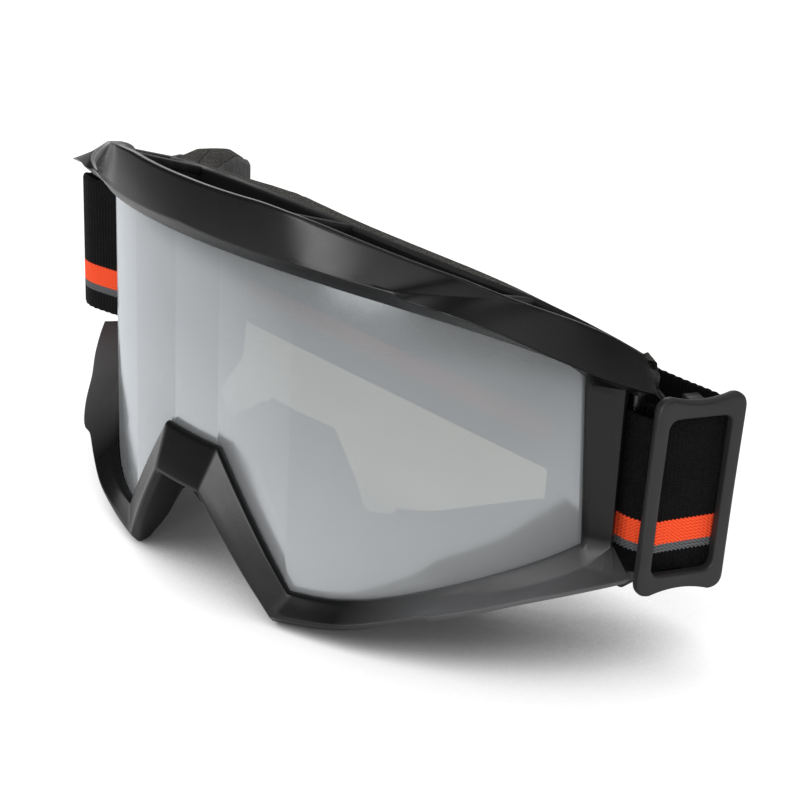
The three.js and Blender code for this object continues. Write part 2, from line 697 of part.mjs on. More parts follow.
// A wavy bead of silicone on the inner face of the rear webbing.
function gripLine(z) {
  const front = REAR_RUN_Y - STRAP_THICKNESS / 2 - GAP;
  const outline = [[-1, 0], [-0.6, -0.5], [0.6, -0.5], [1, 0]];
  const steps = 48;
  const sections = Array.from({ length: steps + 1 }, (_, i) => {
    const x = THREE.MathUtils.lerp(REAR_RIGHT_END + 3, REAR_LEFT_END - 3, i / steps);
    const wave = z + strapLift(x) + 1.6 * Math.sin((x / 15) * 2 * Math.PI);
    return outline.map(([up, out]) => new THREE.Vector3(x, front + out, wave + up));
  });
  return loft(sections, false);
}

function strapPin() {
  const length = LUG_TOP - LUG_BOTTOM + LUG_HEIGHT - 0.4;
  const pin = new THREE.CylinderGeometry(PIN_RADIUS, PIN_RADIUS, length, 24);
  return pin.rotateX(Math.PI / 2).translate(PIN_X, PIN_Y, (LUG_TOP + LUG_BOTTOM) / 2);
}

// ---------- assembly ----------

const group = new THREE.Group();

function add(name, geometry, material) {
  geometry.computeVertexNormals();
  const mesh = new THREE.Mesh(geometry, new THREE.MeshStandardMaterial(MATERIALS[material]));
  mesh.name = name;
  group.add(mesh);
}

add('front_frame', frontFrame(), 'gloss');
add('face_frame', faceFrame(), 'matte');
add('lens', lensSlab(0, -LENS_THICKNESS, 0, 40), 'lens');
add('lens_seal', lensSeal(), 'rubber');
add('top_vent_foam', topVentFoam(), 'ventFoam');
add('left_bottom_vent_foam', bottomVentFoam(), 'ventFoam');
add('right_bottom_vent_foam', mirrored(bottomVentFoam()), 'ventFoam');
add('face_foam_base', foamLayer(0.8, 5.4, 0.4, 0), 'faceFoam');
add('face_foam_soft', foamLayer(6.1, 9.6, 0.8, 0.8), 'faceFoam');
add('face_fleece', foamLayer(10.9, 12, 1.8, 0.8), 'fleece');
add('left_strap_pin', strapPin(), 'steel');
add('right_strap_pin', mirrored(strapPin()), 'steel');
add('left_side_strap', sideStrap(LEFT), 'webbing');
add('right_side_strap', sideStrap(RIGHT), 'webbing');
add('left_slider', slider(LEFT), 'buckle');
add('right_slider', slider(RIGHT), 'buckle');
add('rear_strap', rearStrap(), 'webbing');
add('upper_grip_line', gripLine(-1.5), 'silicone');
add('middle_grip_line', gripLine(-9.5), 'silicone');
add('lower_grip_line', gripLine(-25), 'silicone');

// The finished object's origin is the middle of its footprint, at the level it rests on.
const reach = new THREE.Box3().setFromObject(group);
const middle = reach.getCenter(new THREE.Vector3());
group.position.set(-middle.x, -middle.y, -reach.min.z);

export default group;
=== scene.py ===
"""Looks for the motorcycle goggles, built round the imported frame.

Shapes are drawn in millimetres from the lens's front-most point (+X to the wearer's left, -Y the way
the wearer looks, +Z up) and placed in the frame, in metres, by placed().
"""
import math
from typing import NamedTuple

import bmesh
import bpy
import numpy as np
from mathutils import Matrix, Vector


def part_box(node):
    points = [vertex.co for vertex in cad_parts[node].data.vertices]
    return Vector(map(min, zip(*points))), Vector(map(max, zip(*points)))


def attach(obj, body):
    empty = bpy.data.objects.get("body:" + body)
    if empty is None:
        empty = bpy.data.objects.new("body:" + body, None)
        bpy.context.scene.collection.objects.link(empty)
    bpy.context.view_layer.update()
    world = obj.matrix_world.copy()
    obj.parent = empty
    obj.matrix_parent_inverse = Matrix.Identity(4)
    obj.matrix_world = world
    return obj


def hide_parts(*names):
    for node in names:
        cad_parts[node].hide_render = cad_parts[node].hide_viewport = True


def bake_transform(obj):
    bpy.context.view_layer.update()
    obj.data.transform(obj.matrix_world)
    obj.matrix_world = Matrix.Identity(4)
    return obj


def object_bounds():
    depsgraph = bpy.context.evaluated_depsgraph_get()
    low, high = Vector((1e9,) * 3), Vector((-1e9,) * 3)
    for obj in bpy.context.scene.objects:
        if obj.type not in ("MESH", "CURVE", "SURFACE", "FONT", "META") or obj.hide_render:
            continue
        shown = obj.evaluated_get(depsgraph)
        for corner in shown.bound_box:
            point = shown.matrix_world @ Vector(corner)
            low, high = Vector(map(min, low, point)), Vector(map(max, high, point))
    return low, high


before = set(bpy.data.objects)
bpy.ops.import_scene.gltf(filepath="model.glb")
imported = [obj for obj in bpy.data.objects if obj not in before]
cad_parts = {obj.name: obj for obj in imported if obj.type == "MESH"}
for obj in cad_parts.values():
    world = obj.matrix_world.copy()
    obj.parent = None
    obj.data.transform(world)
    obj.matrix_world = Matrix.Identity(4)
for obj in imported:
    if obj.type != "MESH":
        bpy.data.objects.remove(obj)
cad_low, cad_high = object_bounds()

MM = 0.001
RIM_TOP = 41.5
lens_low, lens_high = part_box("lens")
APEX = np.array([
    (lens_low.x + lens_high.x) / 2,
    lens_low.y,
    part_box("front_frame")[1].z - RIM_TOP * MM,
])

# ---------- driving dimensions, millimetres ----------

LENS_RADIUS = 76
LENS_THICKNESS = 2
UNDER_LIP = 3
SEAT_BACK = -5
OPENING_TOP = 28.5
OPENING_SIDE = 85.5
OPENING_SIDE_LEAN = 2.3
CORNER_TOP = 10.4
CORNER_BOTTOM = -26.4
RAIL_INNER = (26, -41.8)
NOSE_TOP = (8.2, -14.4)

FACE_RADIUS = 80
FACE_DEPTH = 18
FLANGE_THICKNESS = 2
FLANGE_WIDTH = 9
NOSE_NARROWING = 0.4
FLANGE_HALF_WIDTH = 68
FLANGE_TOP_CORNER = 11
FLANGE_BOTTOM_CORNER = -30

STRAP_WIDTH = 34
STRAP_THICKNESS = 1.2
STRAP_TOP = 4.5
STRAP_MIDDLE = STRAP_TOP - STRAP_WIDTH / 2
PIN = (73, 51)
PIN_RADIUS = 1.5
PIN_TURN = 2.4
LUG_HEIGHT = 4.2
PIN_SPARE = 2
LUG_TOP = STRAP_TOP + PIN_SPARE + LUG_HEIGHT / 2
LUG_BOTTOM = STRAP_TOP - STRAP_WIDTH - PIN_SPARE - LUG_HEIGHT / 2
SLIDER_HEIGHT = 43
SLIDER_WIDTH = 19.4
SLIDER_THICKNESS = 2.4
SLIDER_TILT = 1.5
BAR_WIDTH = 2.8
REAR_RUN_Y = 68.8
STRAP_LIFT_LEFT = -1.4
STRAP_LIFT_RIGHT = 1.8
STRAP_LEVEL_FROM = 70


def placed(points):
    return np.asarray(points, float) * MM + APEX


# ---------- curves ----------


def pchip(x, y, at):
    """Smooth values through keys, one row of y per key, with no overshoot between them."""
    x, y, at = np.asarray(x, float), np.asarray(y, float), np.asarray(at, float)
    flat = y.reshape(len(x), -1)
    step = np.diff(x)[:, None]
    slope = np.diff(flat, axis=0) / step
    tangent = np.vstack([slope[:1], np.zeros_like(slope[1:]), slope[-1:]])
    before, after = slope[:-1], slope[1:]
    agree = before * after > 0
    total = np.where(agree, before + after, 1)
    tangent[1:-1] = np.where(agree, 2 * before * after / total, 0)
    i = np.clip(np.searchsorted(x, at, side="right") - 1, 0, len(x) - 2)
    t = ((at - x[i]) / (x[i + 1] - x[i]))[:, None]
    h = step[i]
    value = (
        flat[i] * (2 * t**3 - 3 * t**2 + 1)
        + tangent[i] * h * (t**3 - 2 * t**2 + t)
        + flat[i + 1] * (3 * t**2 - 2 * t**3)
        + tangent[i + 1] * h * (t**3 - t**2)
    )
    return value.reshape((len(at),) + y.shape[1:])


def key(keys, at):
    """One smooth value from [at, value] keys."""
    x, y = zip(*keys)
    return float(pchip(x, y, [min(max(at, x[0]), x[-1])])[0])


def travelled(points):
    """Distance run at each point of a polyline."""
    steps = np.linalg.norm(np.diff(np.asarray(points, float), axis=0), axis=1)
    return np.concatenate([[0], np.cumsum(steps)])


def resampled(points, spacing):
    points = np.asarray(points, float)
    run = travelled(points)
    at = np.linspace(0, run[-1], max(2, round(run[-1] / spacing)) + 1)
    return np.stack([np.interp(at, run, points[:, k]) for k in range(points.shape[1])], 1)


def curve_through(points, spacing):
    """A centripetal Catmull-Rom curve through points, evenly resampled."""
    p = np.asarray(points, float)
    p = np.vstack([2 * p[0] - p[1], p, 2 * p[-1] - p[-2]])
    fine = []
    for a, b, c, d in zip(p, p[1:], p[2:], p[3:]):
        t0 = 0.0
        t1 = t0 + math.sqrt(np.linalg.norm(b - a))
        t2 = t1 + math.sqrt(np.linalg.norm(c - b))
        t3 = t2 + math.sqrt(np.linalg.norm(d - c))
        t = np.linspace(t1, t2, 24)[:, None]
        ab = (a * (t1 - t) + b * (t - t0)) / (t1 - t0)
        bc = (b * (t2 - t) + c * (t - t1)) / (t2 - t1)
        cd = (c * (t3 - t) + d * (t - t2)) / (t3 - t2)
        abc = (ab * (t2 - t) + bc * (t - t0)) / (t2 - t0)
        bcd = (bc * (t3 - t) + cd * (t - t1)) / (t3 - t1)
        fine.append(((abc * (t2 - t) + bcd * (t - t1)) / (t2 - t1))[:-1])
    fine.append(p[-2:-1])
    return resampled(np.vstack(fine), spacing)


# ---------- shapes: (points in mm, faces, uv in mm for each face corner) ----------


def loft(sections, closed):
    """A skin over equal-sized cross-sections. u runs along the loft and v round the section."""
    sections = np.asarray(sections, float)
    count, size = sections.shape[:2]
    middle = sections.mean(axis=1)
    around = travelled(np.vstack([middle, middle[:1]]))
    profile = sections[count // 2]
    across = travelled(np.vstack([profile, profile[:1]]))
    joins = count if closed else count - 1
    i, k = (g.ravel() for g in np.meshgrid(np.arange(joins), np.arange(size), indexing="ij"))
    following, after = (i + 1) % count, (k + 1) % size
    corners = [
        (i, k, i, k), (i, after, i, k + 1),
        (following, after, i + 1, k + 1), (following, k, i + 1, k),
    ]
    faces = np.stack([a * size + b for a, b, _, _ in corners], 1)
    uv = np.stack([np.stack([around[u], across[v]], 1) for _, _, u, v in corners], 1)
    faces = faces.tolist()
    uv = list(uv)
    if not closed:
        last = (count - 1) * size
        for base, order in ((0, range(size - 1, -1, -1)), (last, range(size))):
            faces.append([base + k for k in order])
            uv.append(np.array([[around[base // size], across[k]] for k in order]))
    return sections.reshape(-1, 3), faces, uv


def rounded(section, radii, steps=4):
    """A closed outline with each corner rounded off; every corner gives the same number of points."""
    section = np.asarray(section, float)
    before, after = np.roll(section, 1, axis=0), np.roll(section, -1, axis=0)
    t = np.linspace(0, 1, steps + 1)[:, None]
    points = []
    for corner, last, following, radius in zip(section, before, after, radii):
        back, ahead = last - corner, following - corner
        reach_back, reach_ahead = np.linalg.norm(back), np.linalg.norm(ahead)
        start = corner + back / reach_back * min(radius, 0.45 * reach_back)
        end = corner + ahead / reach_ahead * min(radius, 0.45 * reach_ahead)
        points.append(start * (1 - t) ** 2 + corner * 2 * t * (1 - t) + end * t**2)
    return np.vstack(points)


def rounded_box(size, centre, radius, turn=Matrix.Identity(3)):
    mesh = bmesh.new()
    bmesh.ops.create_cube(mesh, size=1)
    bmesh.ops.scale(mesh, vec=size, verts=mesh.verts)
    bmesh.ops.bevel(mesh, geom=mesh.edges, offset=radius, segments=3, profile=0.5, affect="EDGES")
    bmesh.ops.transform(mesh, matrix=Matrix.Translation(centre) @ turn.to_4x4(), verts=mesh.verts)
    return taken(mesh)


def cylinder(radius, length, centre, bevel):
    """An upright cylinder with eased ends."""
    heights = [-length / 2, -length / 2 + bevel, length / 2 - bevel, length / 2]
    reaches = [radius - bevel, radius, radius, radius - bevel]
    angles = np.linspace(0, 2 * math.pi, 48, endpoint=False)
    circle = np.stack([np.cos(angles), np.sin(angles), np.zeros_like(angles)], 1)
    sections = [circle * reach + np.array([0, 0, z]) for z, reach in zip(heights, reaches)]
    return loft(np.array(sections) + np.array(centre), False)


def taken(mesh):
    """The shape held by a bmesh, which is then freed."""
    points = np.array([v.co for v in mesh.verts])
    faces = [[v.index for v in face.verts] for face in mesh.faces]
    mesh.free()
    return points, faces, [points[face][:, :2] for face in faces]


def flipped(shape):
    """The mirror image for the wearer's right side."""
    points, faces, uv = shape
    return points * np.array([-1, 1, 1]), [face[::-1] for face in faces], [part[::-1] for part in uv]


SHARP = math.radians(38)


def piece(name, shapes, material, slot, replaces=()):
    """One object from one or more shapes, with smooth faces and sharp corners."""
    points, faces, uv = [], [], []
    for some_points, some_faces, some_uv in shapes:
        base = sum(len(p) for p in points)
        points.append(some_points)
        faces += [[base + i for i in face] for face in some_faces]
        uv += list(some_uv)
    mesh = bpy.data.meshes.new(name)
    mesh.from_pydata(placed(np.vstack(points)).tolist(), [], faces)
    layer = mesh.uv_layers.new(name="UVMap")
    layer.data.foreach_set("uv", (np.vstack(uv) * MM).ravel())
    edit = bmesh.new()
    edit.from_mesh(mesh)
    bmesh.ops.recalc_face_normals(edit, faces=edit.faces)
    for face in edit.faces:
        face.smooth = True
    for edge in edit.edges:
        edge.smooth = edge.calc_face_angle(0) < SHARP
    edit.to_mesh(mesh)
    edit.free()
    mesh.materials.append(material)
    made = bpy.data.objects.new(name, mesh)
    bpy.context.scene.collection.objects.link(made)
    if replaces:
        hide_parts(*replaces)
    return made


# ---------- material tools ----------


class Nodes:
    """A short way to write a node tree: each call makes one node and returns its main output.

    An input is named by its socket's name, or by i and its number, such as i0.
    """

    def __init__(self, name, family=bpy.data.materials, output="Material"):
        self.owner = family.new(name)
        self.owner.use_nodes = True
        self.tree = self.owner.node_tree
        self.tree.nodes.clear()
        self.output = self.tree.nodes.new("ShaderNodeOutput" + output)

    def add(self, kind, out=0, settings=None, **inputs):
        node = self.tree.nodes.new("ShaderNode" + kind)
        for name, value in (settings or {}).items():
            setattr(node, name, value)
        for name, value in inputs.items():
            by_number = name[1:].isdigit()
            self.set(node.inputs[int(name[1:]) if by_number else name.replace("_", " ")], value)
        return node.outputs[out]

    def set(self, socket, value):
        if isinstance(value, bpy.types.NodeSocket):
            self.tree.links.new(value, socket)
        else:
            socket.default_value = value

    def place(self, scale=1.0, source="Object"):
        """Coordinates in millimetres, divided by scale."""
        here = self.add("TexCoord", out=source)
        return self.add("VectorMath", settings={"operation": "SCALE"}, i0=here, Scale=1 / (MM * scale))

    def math(self, operation, a, b=0.0):
        return self.add("Math", settings={"operation": operation}, i0=a, i1=b)

    def axis(self, vector, name):
        """One coordinate, X, Y or Z, of a vector."""
        return self.add("SeparateXYZ", out=name, i0=vector)

    def height(self, top, bottom):
        """0 above top and 1 below bottom, both in drawing millimetres."""
        level = self.axis(self.place(), "Z")
        return self.spread(level, APEX[2] / MM + top, APEX[2] / MM + bottom)

    def noise(self, size, detail=4.0, roughness=0.55):
        """Noise with features about size millimetres across, from 0 to 1."""
        place = self.place(size)
        return self.add("TexNoise", Vector=place, Scale=1.0, Detail=detail, Roughness=roughness)

    def spread(self, value, low, high, to_low=0.0, to_high=1.0):
        return self.add("MapRange", i0=value, i1=low, i2=high, i3=to_low, i4=to_high)

    def mix(self, share, a, b):
        return self.add("Mix", out=2, settings={"data_type": "RGBA"}, i0=share, i6=a, i7=b)

    def bump(self, height, distance):
        """A bump whose full height is distance millimetres."""
        return self.add("Bump", Height=height, Distance=distance * MM, Strength=1.0)

    def surface(self, shader):
        self.tree.links.new(shader, self.output.inputs["Surface"])
        return self.owner


def grey(value):
    return (value, value, value * 1.03, 1.0)


# ---------- materials ----------


# where the lower rail's outer ends are rougher and painted lighter, a painted sheen
SATIN_AND_SHEEN_HEIGHTS = (-24, -32)
SATIN_AND_SHEEN_REACH = (42, 72)
GRAZING = (0.55, 0.95)


def moulded_plastic(name, base, edge, roughness, grain_size, grain_height, coat, satin_and_painted_sheen=0.0):
    """Moulded plastic: fine grain, uneven gloss, and edges a little lighter from handling.

    The last argument sets how much duller the ends of the lower rail are, and how much lighter in colour:
    the lighter colour is a painted sheen. Reflection is turned down on undersides and at grazing angles,
    a painted shade that keeps them dark.
    """
    n = Nodes(name)
    wear = n.add("NewGeometry", out="Pointiness")
    blotch = n.noise(9.0, 3.0)
    edge_share = n.math("MULTIPLY", n.spread(wear, 0.53, 0.62), n.spread(n.noise(2.2), 0.35, 0.7))
    colour = n.mix(n.spread(blotch, 0.3, 0.75, 0.0, 0.35), grey(base), grey(base * 1.6))
    colour = n.mix(edge_share, colour, grey(edge))
    grain = n.noise(grain_size, 2.0)
    smear = n.noise(16.0, 5.0)
    shine = n.spread(smear, 0.3, 0.7, roughness * 0.8, roughness * 1.25)
    # painted sheen: the lower rail's outer ends get a much lighter colour as well as a rougher finish
    outboard = n.spread(n.math("ABSOLUTE", n.axis(n.place(), "X")), *SATIN_AND_SHEEN_REACH, 0.0, satin_and_painted_sheen)
    dull_and_painted_sheen = n.math("MULTIPLY", n.height(*SATIN_AND_SHEEN_HEIGHTS), outboard)
    colour = n.mix(dull_and_painted_sheen, colour, grey(base * 26))
    shine = n.math("ADD", shine, n.math("MULTIPLY", dull_and_painted_sheen, 0.25))
    # painted shade: reflection is turned down on faces that point down, and reflection and coat fade at
    # grazing angles
    glance = n.add("LayerWeight", out="Facing", Blend=0.5)
    upward = n.axis(n.add("NewGeometry", out="Normal"), "Z")
    painted_underside_shade = n.spread(upward, -0.4, 0.2, 0.25, 1.0)
    shader = n.add(
        "BsdfPrincipled", Base_Color=colour, Roughness=shine, Normal=n.bump(grain, grain_height),
        Specular_IOR_Level=n.math("MULTIPLY", n.spread(glance, *GRAZING, 0.3, 0.08), painted_underside_shade),
        Coat_Weight=n.spread(glance, *GRAZING, coat, 0.0), Coat_Roughness=roughness * 0.6, IOR=1.5,
    )
    return n.surface(shader)


# the lens's silver runs from darker at the top to lighter at the bottom: a painted reflection of the
# bright table
LENS_HEIGHTS = (28, -42)
SILVER_SHADED_TOP = (0.2, 0.21, 0.22, 1)
SILVER_LIT_BOTTOM = (0.42, 0.435, 0.45, 1)
SEEN_THROUGH = (0.80, 0.79, 0.72, 1)


def lens_material():
    """A silver mirror film on a grey lens: matt silver painted lighter towards the bottom as a painted
    reflection, partly see-through where it faces the eye.
    """
    n = Nodes("mirror_lens")
    facing = n.add("LayerWeight", out="Facing", Blend=0.5)
    cloud = n.spread(n.noise(45.0, 3.0), 0.3, 0.7)
    smear = n.spread(n.noise(14.0, 4.0), 0.35, 0.7, 0.13, 0.2)
    film = n.mix(cloud, (0.60, 0.63, 0.66, 1), (0.66, 0.69, 0.71, 1))
    mirror = n.add("BsdfAnisotropic", Color=film, Roughness=smear)
    # painted reflection: the silver is lighter towards the bottom, as if mirroring the bright table
    silver_with_painted_reflection = n.mix(n.height(*LENS_HEIGHTS), SILVER_SHADED_TOP, SILVER_LIT_BOTTOM)
    silver_with_painted_reflection = n.mix(n.math("MULTIPLY", cloud, 0.12), silver_with_painted_reflection, (0.5, 0.52, 0.54, 1))
    silver = n.add("BsdfDiffuse", Color=silver_with_painted_reflection)
    clear = n.add("BsdfTransparent", Color=SEEN_THROUGH)
    film_share = n.spread(facing, 0.1, 0.9, 0.22, 0.8)
    coated = n.add("MixShader", i0=film_share, i1=silver, i2=mirror)
    share = n.spread(facing, 0.1, 0.8, 0.62, 0.95)
    return n.surface(n.add("MixShader", i0=share, i1=clear, i2=coated))


def foam_material(name, dark, light, pore):
    """Open-cell foam: pores as pits, with speckled cell walls."""
    n = Nodes(name)
    cells = n.add("TexVoronoi", settings={"feature": "DISTANCE_TO_EDGE"}, Vector=n.place(pore), Scale=1.0)
    specks = n.noise(pore * 0.8, 3.0)
    patches = n.noise(7.0, 3.0)
    share = n.math("MULTIPLY", n.spread(specks, 0.42, 0.68), n.spread(patches, 0.25, 0.75, 0.55, 1.0))
    colour = n.mix(share, dark, light)
    height = n.math("ADD", n.spread(cells, 0.0, 0.35), n.math("MULTIPLY", specks, 0.8))
    shader = n.add(
        "BsdfPrincipled", Base_Color=colour, Roughness=0.95, Normal=n.bump(height, 0.35),
        Sheen_Weight=0.05, Sheen_Roughness=0.5,
    )
    return n.surface(shader)


def fleece_material():
    """Short-pile fleece: soft clumps with a pale sheen."""
    n = Nodes("fleece")
    pile = n.noise(0.35, 3.0, roughness=0.7)
    clumps = n.noise(2.4, 3.0)
    colour = n.mix(n.spread(clumps, 0.35, 0.7), (0.006, 0.006, 0.006, 1), (0.02, 0.019, 0.018, 1))
    height = n.math("ADD", n.math("MULTIPLY", pile, 0.6), clumps)
    shader = n.add(
        "BsdfPrincipled", Base_Color=colour, Roughness=1.0, Normal=n.bump(height, 0.5),
        Sheen_Weight=0.12, Sheen_Roughness=0.5,
    )
    return n.surface(shader)


STRIPE_TOP = -17.5
STRIPE_BOTTOM = -22.6
GREY_STRIPE_BOTTOM = -24.4
RIB_SPACING = 0.95
YARN_SPACING = 0.72
STRIPE_RAGGEDNESS = (0.9, 0.12)


def webbing_material():
    """Elastic webbing: ribs across it, fine yarns along it, and woven orange and grey stripes."""
    n = Nodes("webbing")

    def wave(value, spacing):
        return n.math("SINE", n.math("MULTIPLY", value, 2 * math.pi / spacing))

    def between(value, top, bottom):
        return n.math("MULTIPLY", n.math("LESS_THAN", value, top), n.math("GREATER_THAN", value, bottom))

    woven = n.place(1.0, "UV")
    along = n.axis(woven, "X")
    ragged_spacing, ragged_height = STRIPE_RAGGEDNESS
    ragged = n.math("MULTIPLY", wave(along, ragged_spacing), ragged_height)
    level = n.math("ADD", n.axis(woven, "Y"), ragged)
    rib = wave(along, RIB_SPACING)
    yarn = wave(level, YARN_SPACING)
    knit = n.math("MULTIPLY", rib, yarn)
    fuzz = n.noise(0.5, 3.0)
    worn = n.noise(11.0, 4.0)
    black = n.mix(n.spread(fuzz, 0.35, 0.7), (0.001, 0.001, 0.0011, 1), (0.0042, 0.0042, 0.0044, 1))
    black = n.mix(n.spread(worn, 0.45, 0.8, 0.0, 0.3), black, (0.008, 0.0078, 0.0078, 1))
    orange = n.mix(n.spread(knit, -0.8, 0.9), (0.62, 0.035, 0.010, 1), (1.0, 0.115, 0.035, 1))
    pale = n.mix(n.spread(knit, -0.8, 0.9), (0.035, 0.036, 0.038, 1), (0.14, 0.145, 0.15, 1))
    colour = n.mix(between(level, STRIPE_TOP, STRIPE_BOTTOM), black, orange)
    colour = n.mix(between(level, STRIPE_BOTTOM, GREY_STRIPE_BOTTOM), colour, pale)
    fine_relief = n.math("ADD", n.math("MULTIPLY", yarn, 0.35), fuzz)
    relief = n.math("ADD", n.math("MULTIPLY", rib, 0.5), fine_relief)
    shader = n.add(
        "BsdfPrincipled", Base_Color=colour, Roughness=0.85, Normal=n.bump(relief, 0.09),
        Sheen_Weight=0.02, Sheen_Roughness=0.4, Specular_IOR_Level=0.1,
    )
    return n.surface(shader)


def rubber_material(name, base, roughness):
    """Rubber or silicone with a fine skin and a little dust."""
    n = Nodes(name)
    dust = n.spread(n.noise(3.0, 5.0), 0.45, 0.8)
    colour = n.mix(dust, grey(base), grey(base * 2.0))
    shader = n.add(
        "BsdfPrincipled", Base_Color=colour, Roughness=n.spread(dust, 0, 1, roughness, roughness + 0.2),
        Normal=n.bump(n.noise(0.6, 2.0), 0.02),
    )
    return n.surface(shader)


def steel_material():
    """Drawn wire: fine lines round the pin."""
    n = Nodes("pin_steel")
    lines = n.add("TexNoise", Vector=n.place(0.25), Scale=1.0, Detail=3.0)
    shader = n.add(
        "BsdfPrincipled", Base_Color=(0.06, 0.06, 0.063, 1), Metallic=1.0,
        Roughness=n.spread(lines, 0.3, 0.7, 0.25, 0.45), Normal=n.bump(lines, 0.01),
    )
    return n.surface(shader)


SHADOW_REACH = 0.08
SHADOW_LEAN = (-0.3, -0.35, 0.88)
SHADOW_OPENNESS = (0.24, 0.82)
SHADOW_DARKEST = 0.03
TABLE_GLOW = 0.9
TABLE_REFLECTED = 0.12
TABLE_PAINT = ((0.16, 0.16, 0.16, 1), (0.18, 0.18, 0.18, 1))
# pools of light on the table as reflections see them: centre, outer and inner radius in metres, power
TABLE_POOLS = (
    ((0.0, -0.03, 0.0), 0.45, 0.33, 0.8),
    ((0.32, -0.95, 0.0), 0.3, 0.15, 6.0),
)


def floor_material():
    """A bright white table with a soft contact shadow that leans to the wearer's left.

    Reflections see a darker table with pools of light round and in front of the goggles.
    """
    n = Nodes("pale_floor")
    x, y, z = SHADOW_LEAN
    lean = n.add("CombineXYZ", X=x, Y=y, Z=z)
    rays = {"samples": 16}
    open_sky = n.add("AmbientOcclusion", out="AO", settings=rays, Distance=SHADOW_REACH, Normal=lean)
    low, high = SHADOW_OPENNESS
    shadow = n.add(
        "MapRange", settings={"interpolation_type": "SMOOTHSTEP"},
        i0=open_sky, i1=low, i2=high, i3=SHADOW_DARKEST, i4=1.0)
    reflected = TABLE_REFLECTED
    here = n.add("NewGeometry")
    for centre, outer, inner, power in TABLE_POOLS:
        away = n.add("VectorMath", out="Value", settings={"operation": "DISTANCE"}, i0=here, i1=centre)
        reflected = n.math("ADD", n.spread(away, outer, inner, 0.0, power), reflected)
    lit = n.add("Mix", i0=n.add("LightPath", out="Is Glossy Ray"), i2=TABLE_GLOW, i3=reflected)
    glow = n.add("Emission", Color=(1, 1, 1, 1), Strength=n.math("MULTIPLY", shadow, lit))
    matt = n.add("BsdfDiffuse", Color=n.mix(n.noise(300.0, 2.0), *TABLE_PAINT))
    return n.surface(n.add("AddShader", i0=glow, i1=matt))


GLOSS = moulded_plastic("frame_gloss", 0.004, 0.03, 0.28, 0.5, 0.006, 0.08, satin_and_painted_sheen=1.0)
MATTE = moulded_plastic("frame_matte", 0.007, 0.03, 0.5, 0.4, 0.02, 0.0)
BUCKLE = moulded_plastic("slider_nylon", 0.018, 0.06, 0.42, 0.35, 0.02, 0.0)
LENS = lens_material()
VENT_FOAM = foam_material("vent_foam", (0.008, 0.007, 0.006, 1), (0.085, 0.075, 0.058, 1), 0.8)
FACE_FOAM = foam_material(
    "face_foam", (0.008, 0.0075, 0.006, 1), (0.075, 0.068, 0.055, 1), 0.55)
FLEECE = fleece_material()
WEBBING = webbing_material()
SILICONE = rubber_material("grip_silicone", 0.018, 0.3)
SEAL = rubber_material("seal_rubber", 0.012, 0.6)
STEEL = steel_material()

# ---------- stations round the lens opening ----------


def opening_top(s):
    return OPENING_TOP - 0.0019 * s**2 - 8e-8 * s**4


def opening_bottom(s):
    """The lower rail curves out of its inner corner, then climbs in a straight line."""
    bend = 48
    curved = RAIL_INNER[1] + 0.0068 * (min(s, bend) - RAIL_INNER[0]) ** 2
    return curved + 0.315 * max(0, s - bend)


def opening_side(z):
    """The side leans: its top stands nearer the centre than its foot."""
    return OPENING_SIDE - OPENING_SIDE_LEAN * (z - CORNER_BOTTOM) / (CORNER_TOP - CORNER_BOTTOM)


class Station(NamedTuple):
    """A place on the opening: its zone, s along the lens, height z and the outward direction."""

    zone: str
    s: float
    z: float
    out: tuple
    corner: bool = False


def half_stations():
    miter = (-0.544, -1)
    side_out = (-0.84, -0.543)
    brow_at = (0, 8, 16, 24, 32, 40, 46, 48, 56, 64, 72, 79)
    brow = [Station("brow", s, opening_top(s), (0, 1)) for s in brow_at]
    top = Station("brow", opening_side(CORNER_TOP), CORNER_TOP, (1, 1), True)
    post_at = (CORNER_TOP - 1, -8, CORNER_BOTTOM + 1)
    post = [Station("post", opening_side(z), z, (1, 0)) for z in post_at]
    heel = Station("rail", OPENING_SIDE, CORNER_BOTTOM, (1, -1), True)
    rail_at = (78, 70, 62, 56, 54, 48, 41, 33)
    rail = [Station("rail", s, opening_bottom(s), (0, -1)) for s in rail_at]
    toe = Station("rail", *RAIL_INNER, miter, True)
    foot, head = np.array(RAIL_INNER), np.array(NOSE_TOP)
    side = [
        Station("nose", *(foot * (1 - share) + head * share), side_out) for share in (0.33, 0.67)]
    bridge = Station("nose", *NOSE_TOP, miter, True)
    return [*brow, top, *post, heel, *rail, toe, *side, bridge, Station("nose", 0, NOSE_TOP[1], (0, -1))]


def wrap(points):
    """Unrolled (s, z, rho) points bent back onto the lens's cylinder."""
    s, z, rho = np.moveaxis(np.asarray(points, float), -1, 0)
    angle, radius = s / LENS_RADIUS, LENS_RADIUS + rho
    return np.stack([radius * np.sin(angle), LENS_RADIUS - radius * np.cos(angle), z], -1)


def face_y(x):
    return FACE_DEPTH + FACE_RADIUS - np.sqrt(FACE_RADIUS**2 - np.asarray(x, float) ** 2)


def on_face(points):
    """(x, z, depth behind the flange's surface) points."""
    x, z, depth = np.moveaxis(np.asarray(points, float), -1, 0)
    return np.stack([x, face_y(x) + depth, z], -1)


RING_SPACING = 1.2


def half_ring(section, convert, half):
    """Fine sections along one half, smoothed between corners, as points in space for the left side."""
    stations = half_stations()
    marks = [0] + [i for i, station in enumerate(stations) if station.corner] + [len(stations) - 1]
    fine = []
    for first, last in zip(marks, marks[1:]):
        run = stations[first:last + 1]
        distance = travelled([(station.s, station.z) for station in run])
        values = np.array([section(station, half) for station in run])
        at = np.linspace(0, distance[-1], max(2, round(distance[-1] / RING_SPACING)) + 1)
        fine.append(convert(pchip(distance, values, at))[:-1])
    fine.append(convert(values[-1:]))
    return np.vstack(fine)


def ring(section, convert, radii):
    """A closed loft all round the opening."""
    left = half_ring(section, convert, 1)
    right = half_ring(section, convert, -1) * np.array([-1, 1, 1])
    return loft([rounded(s, radii) for s in [*left, *right[1:-1][::-1]]], True)


# ---------- front frame ----------

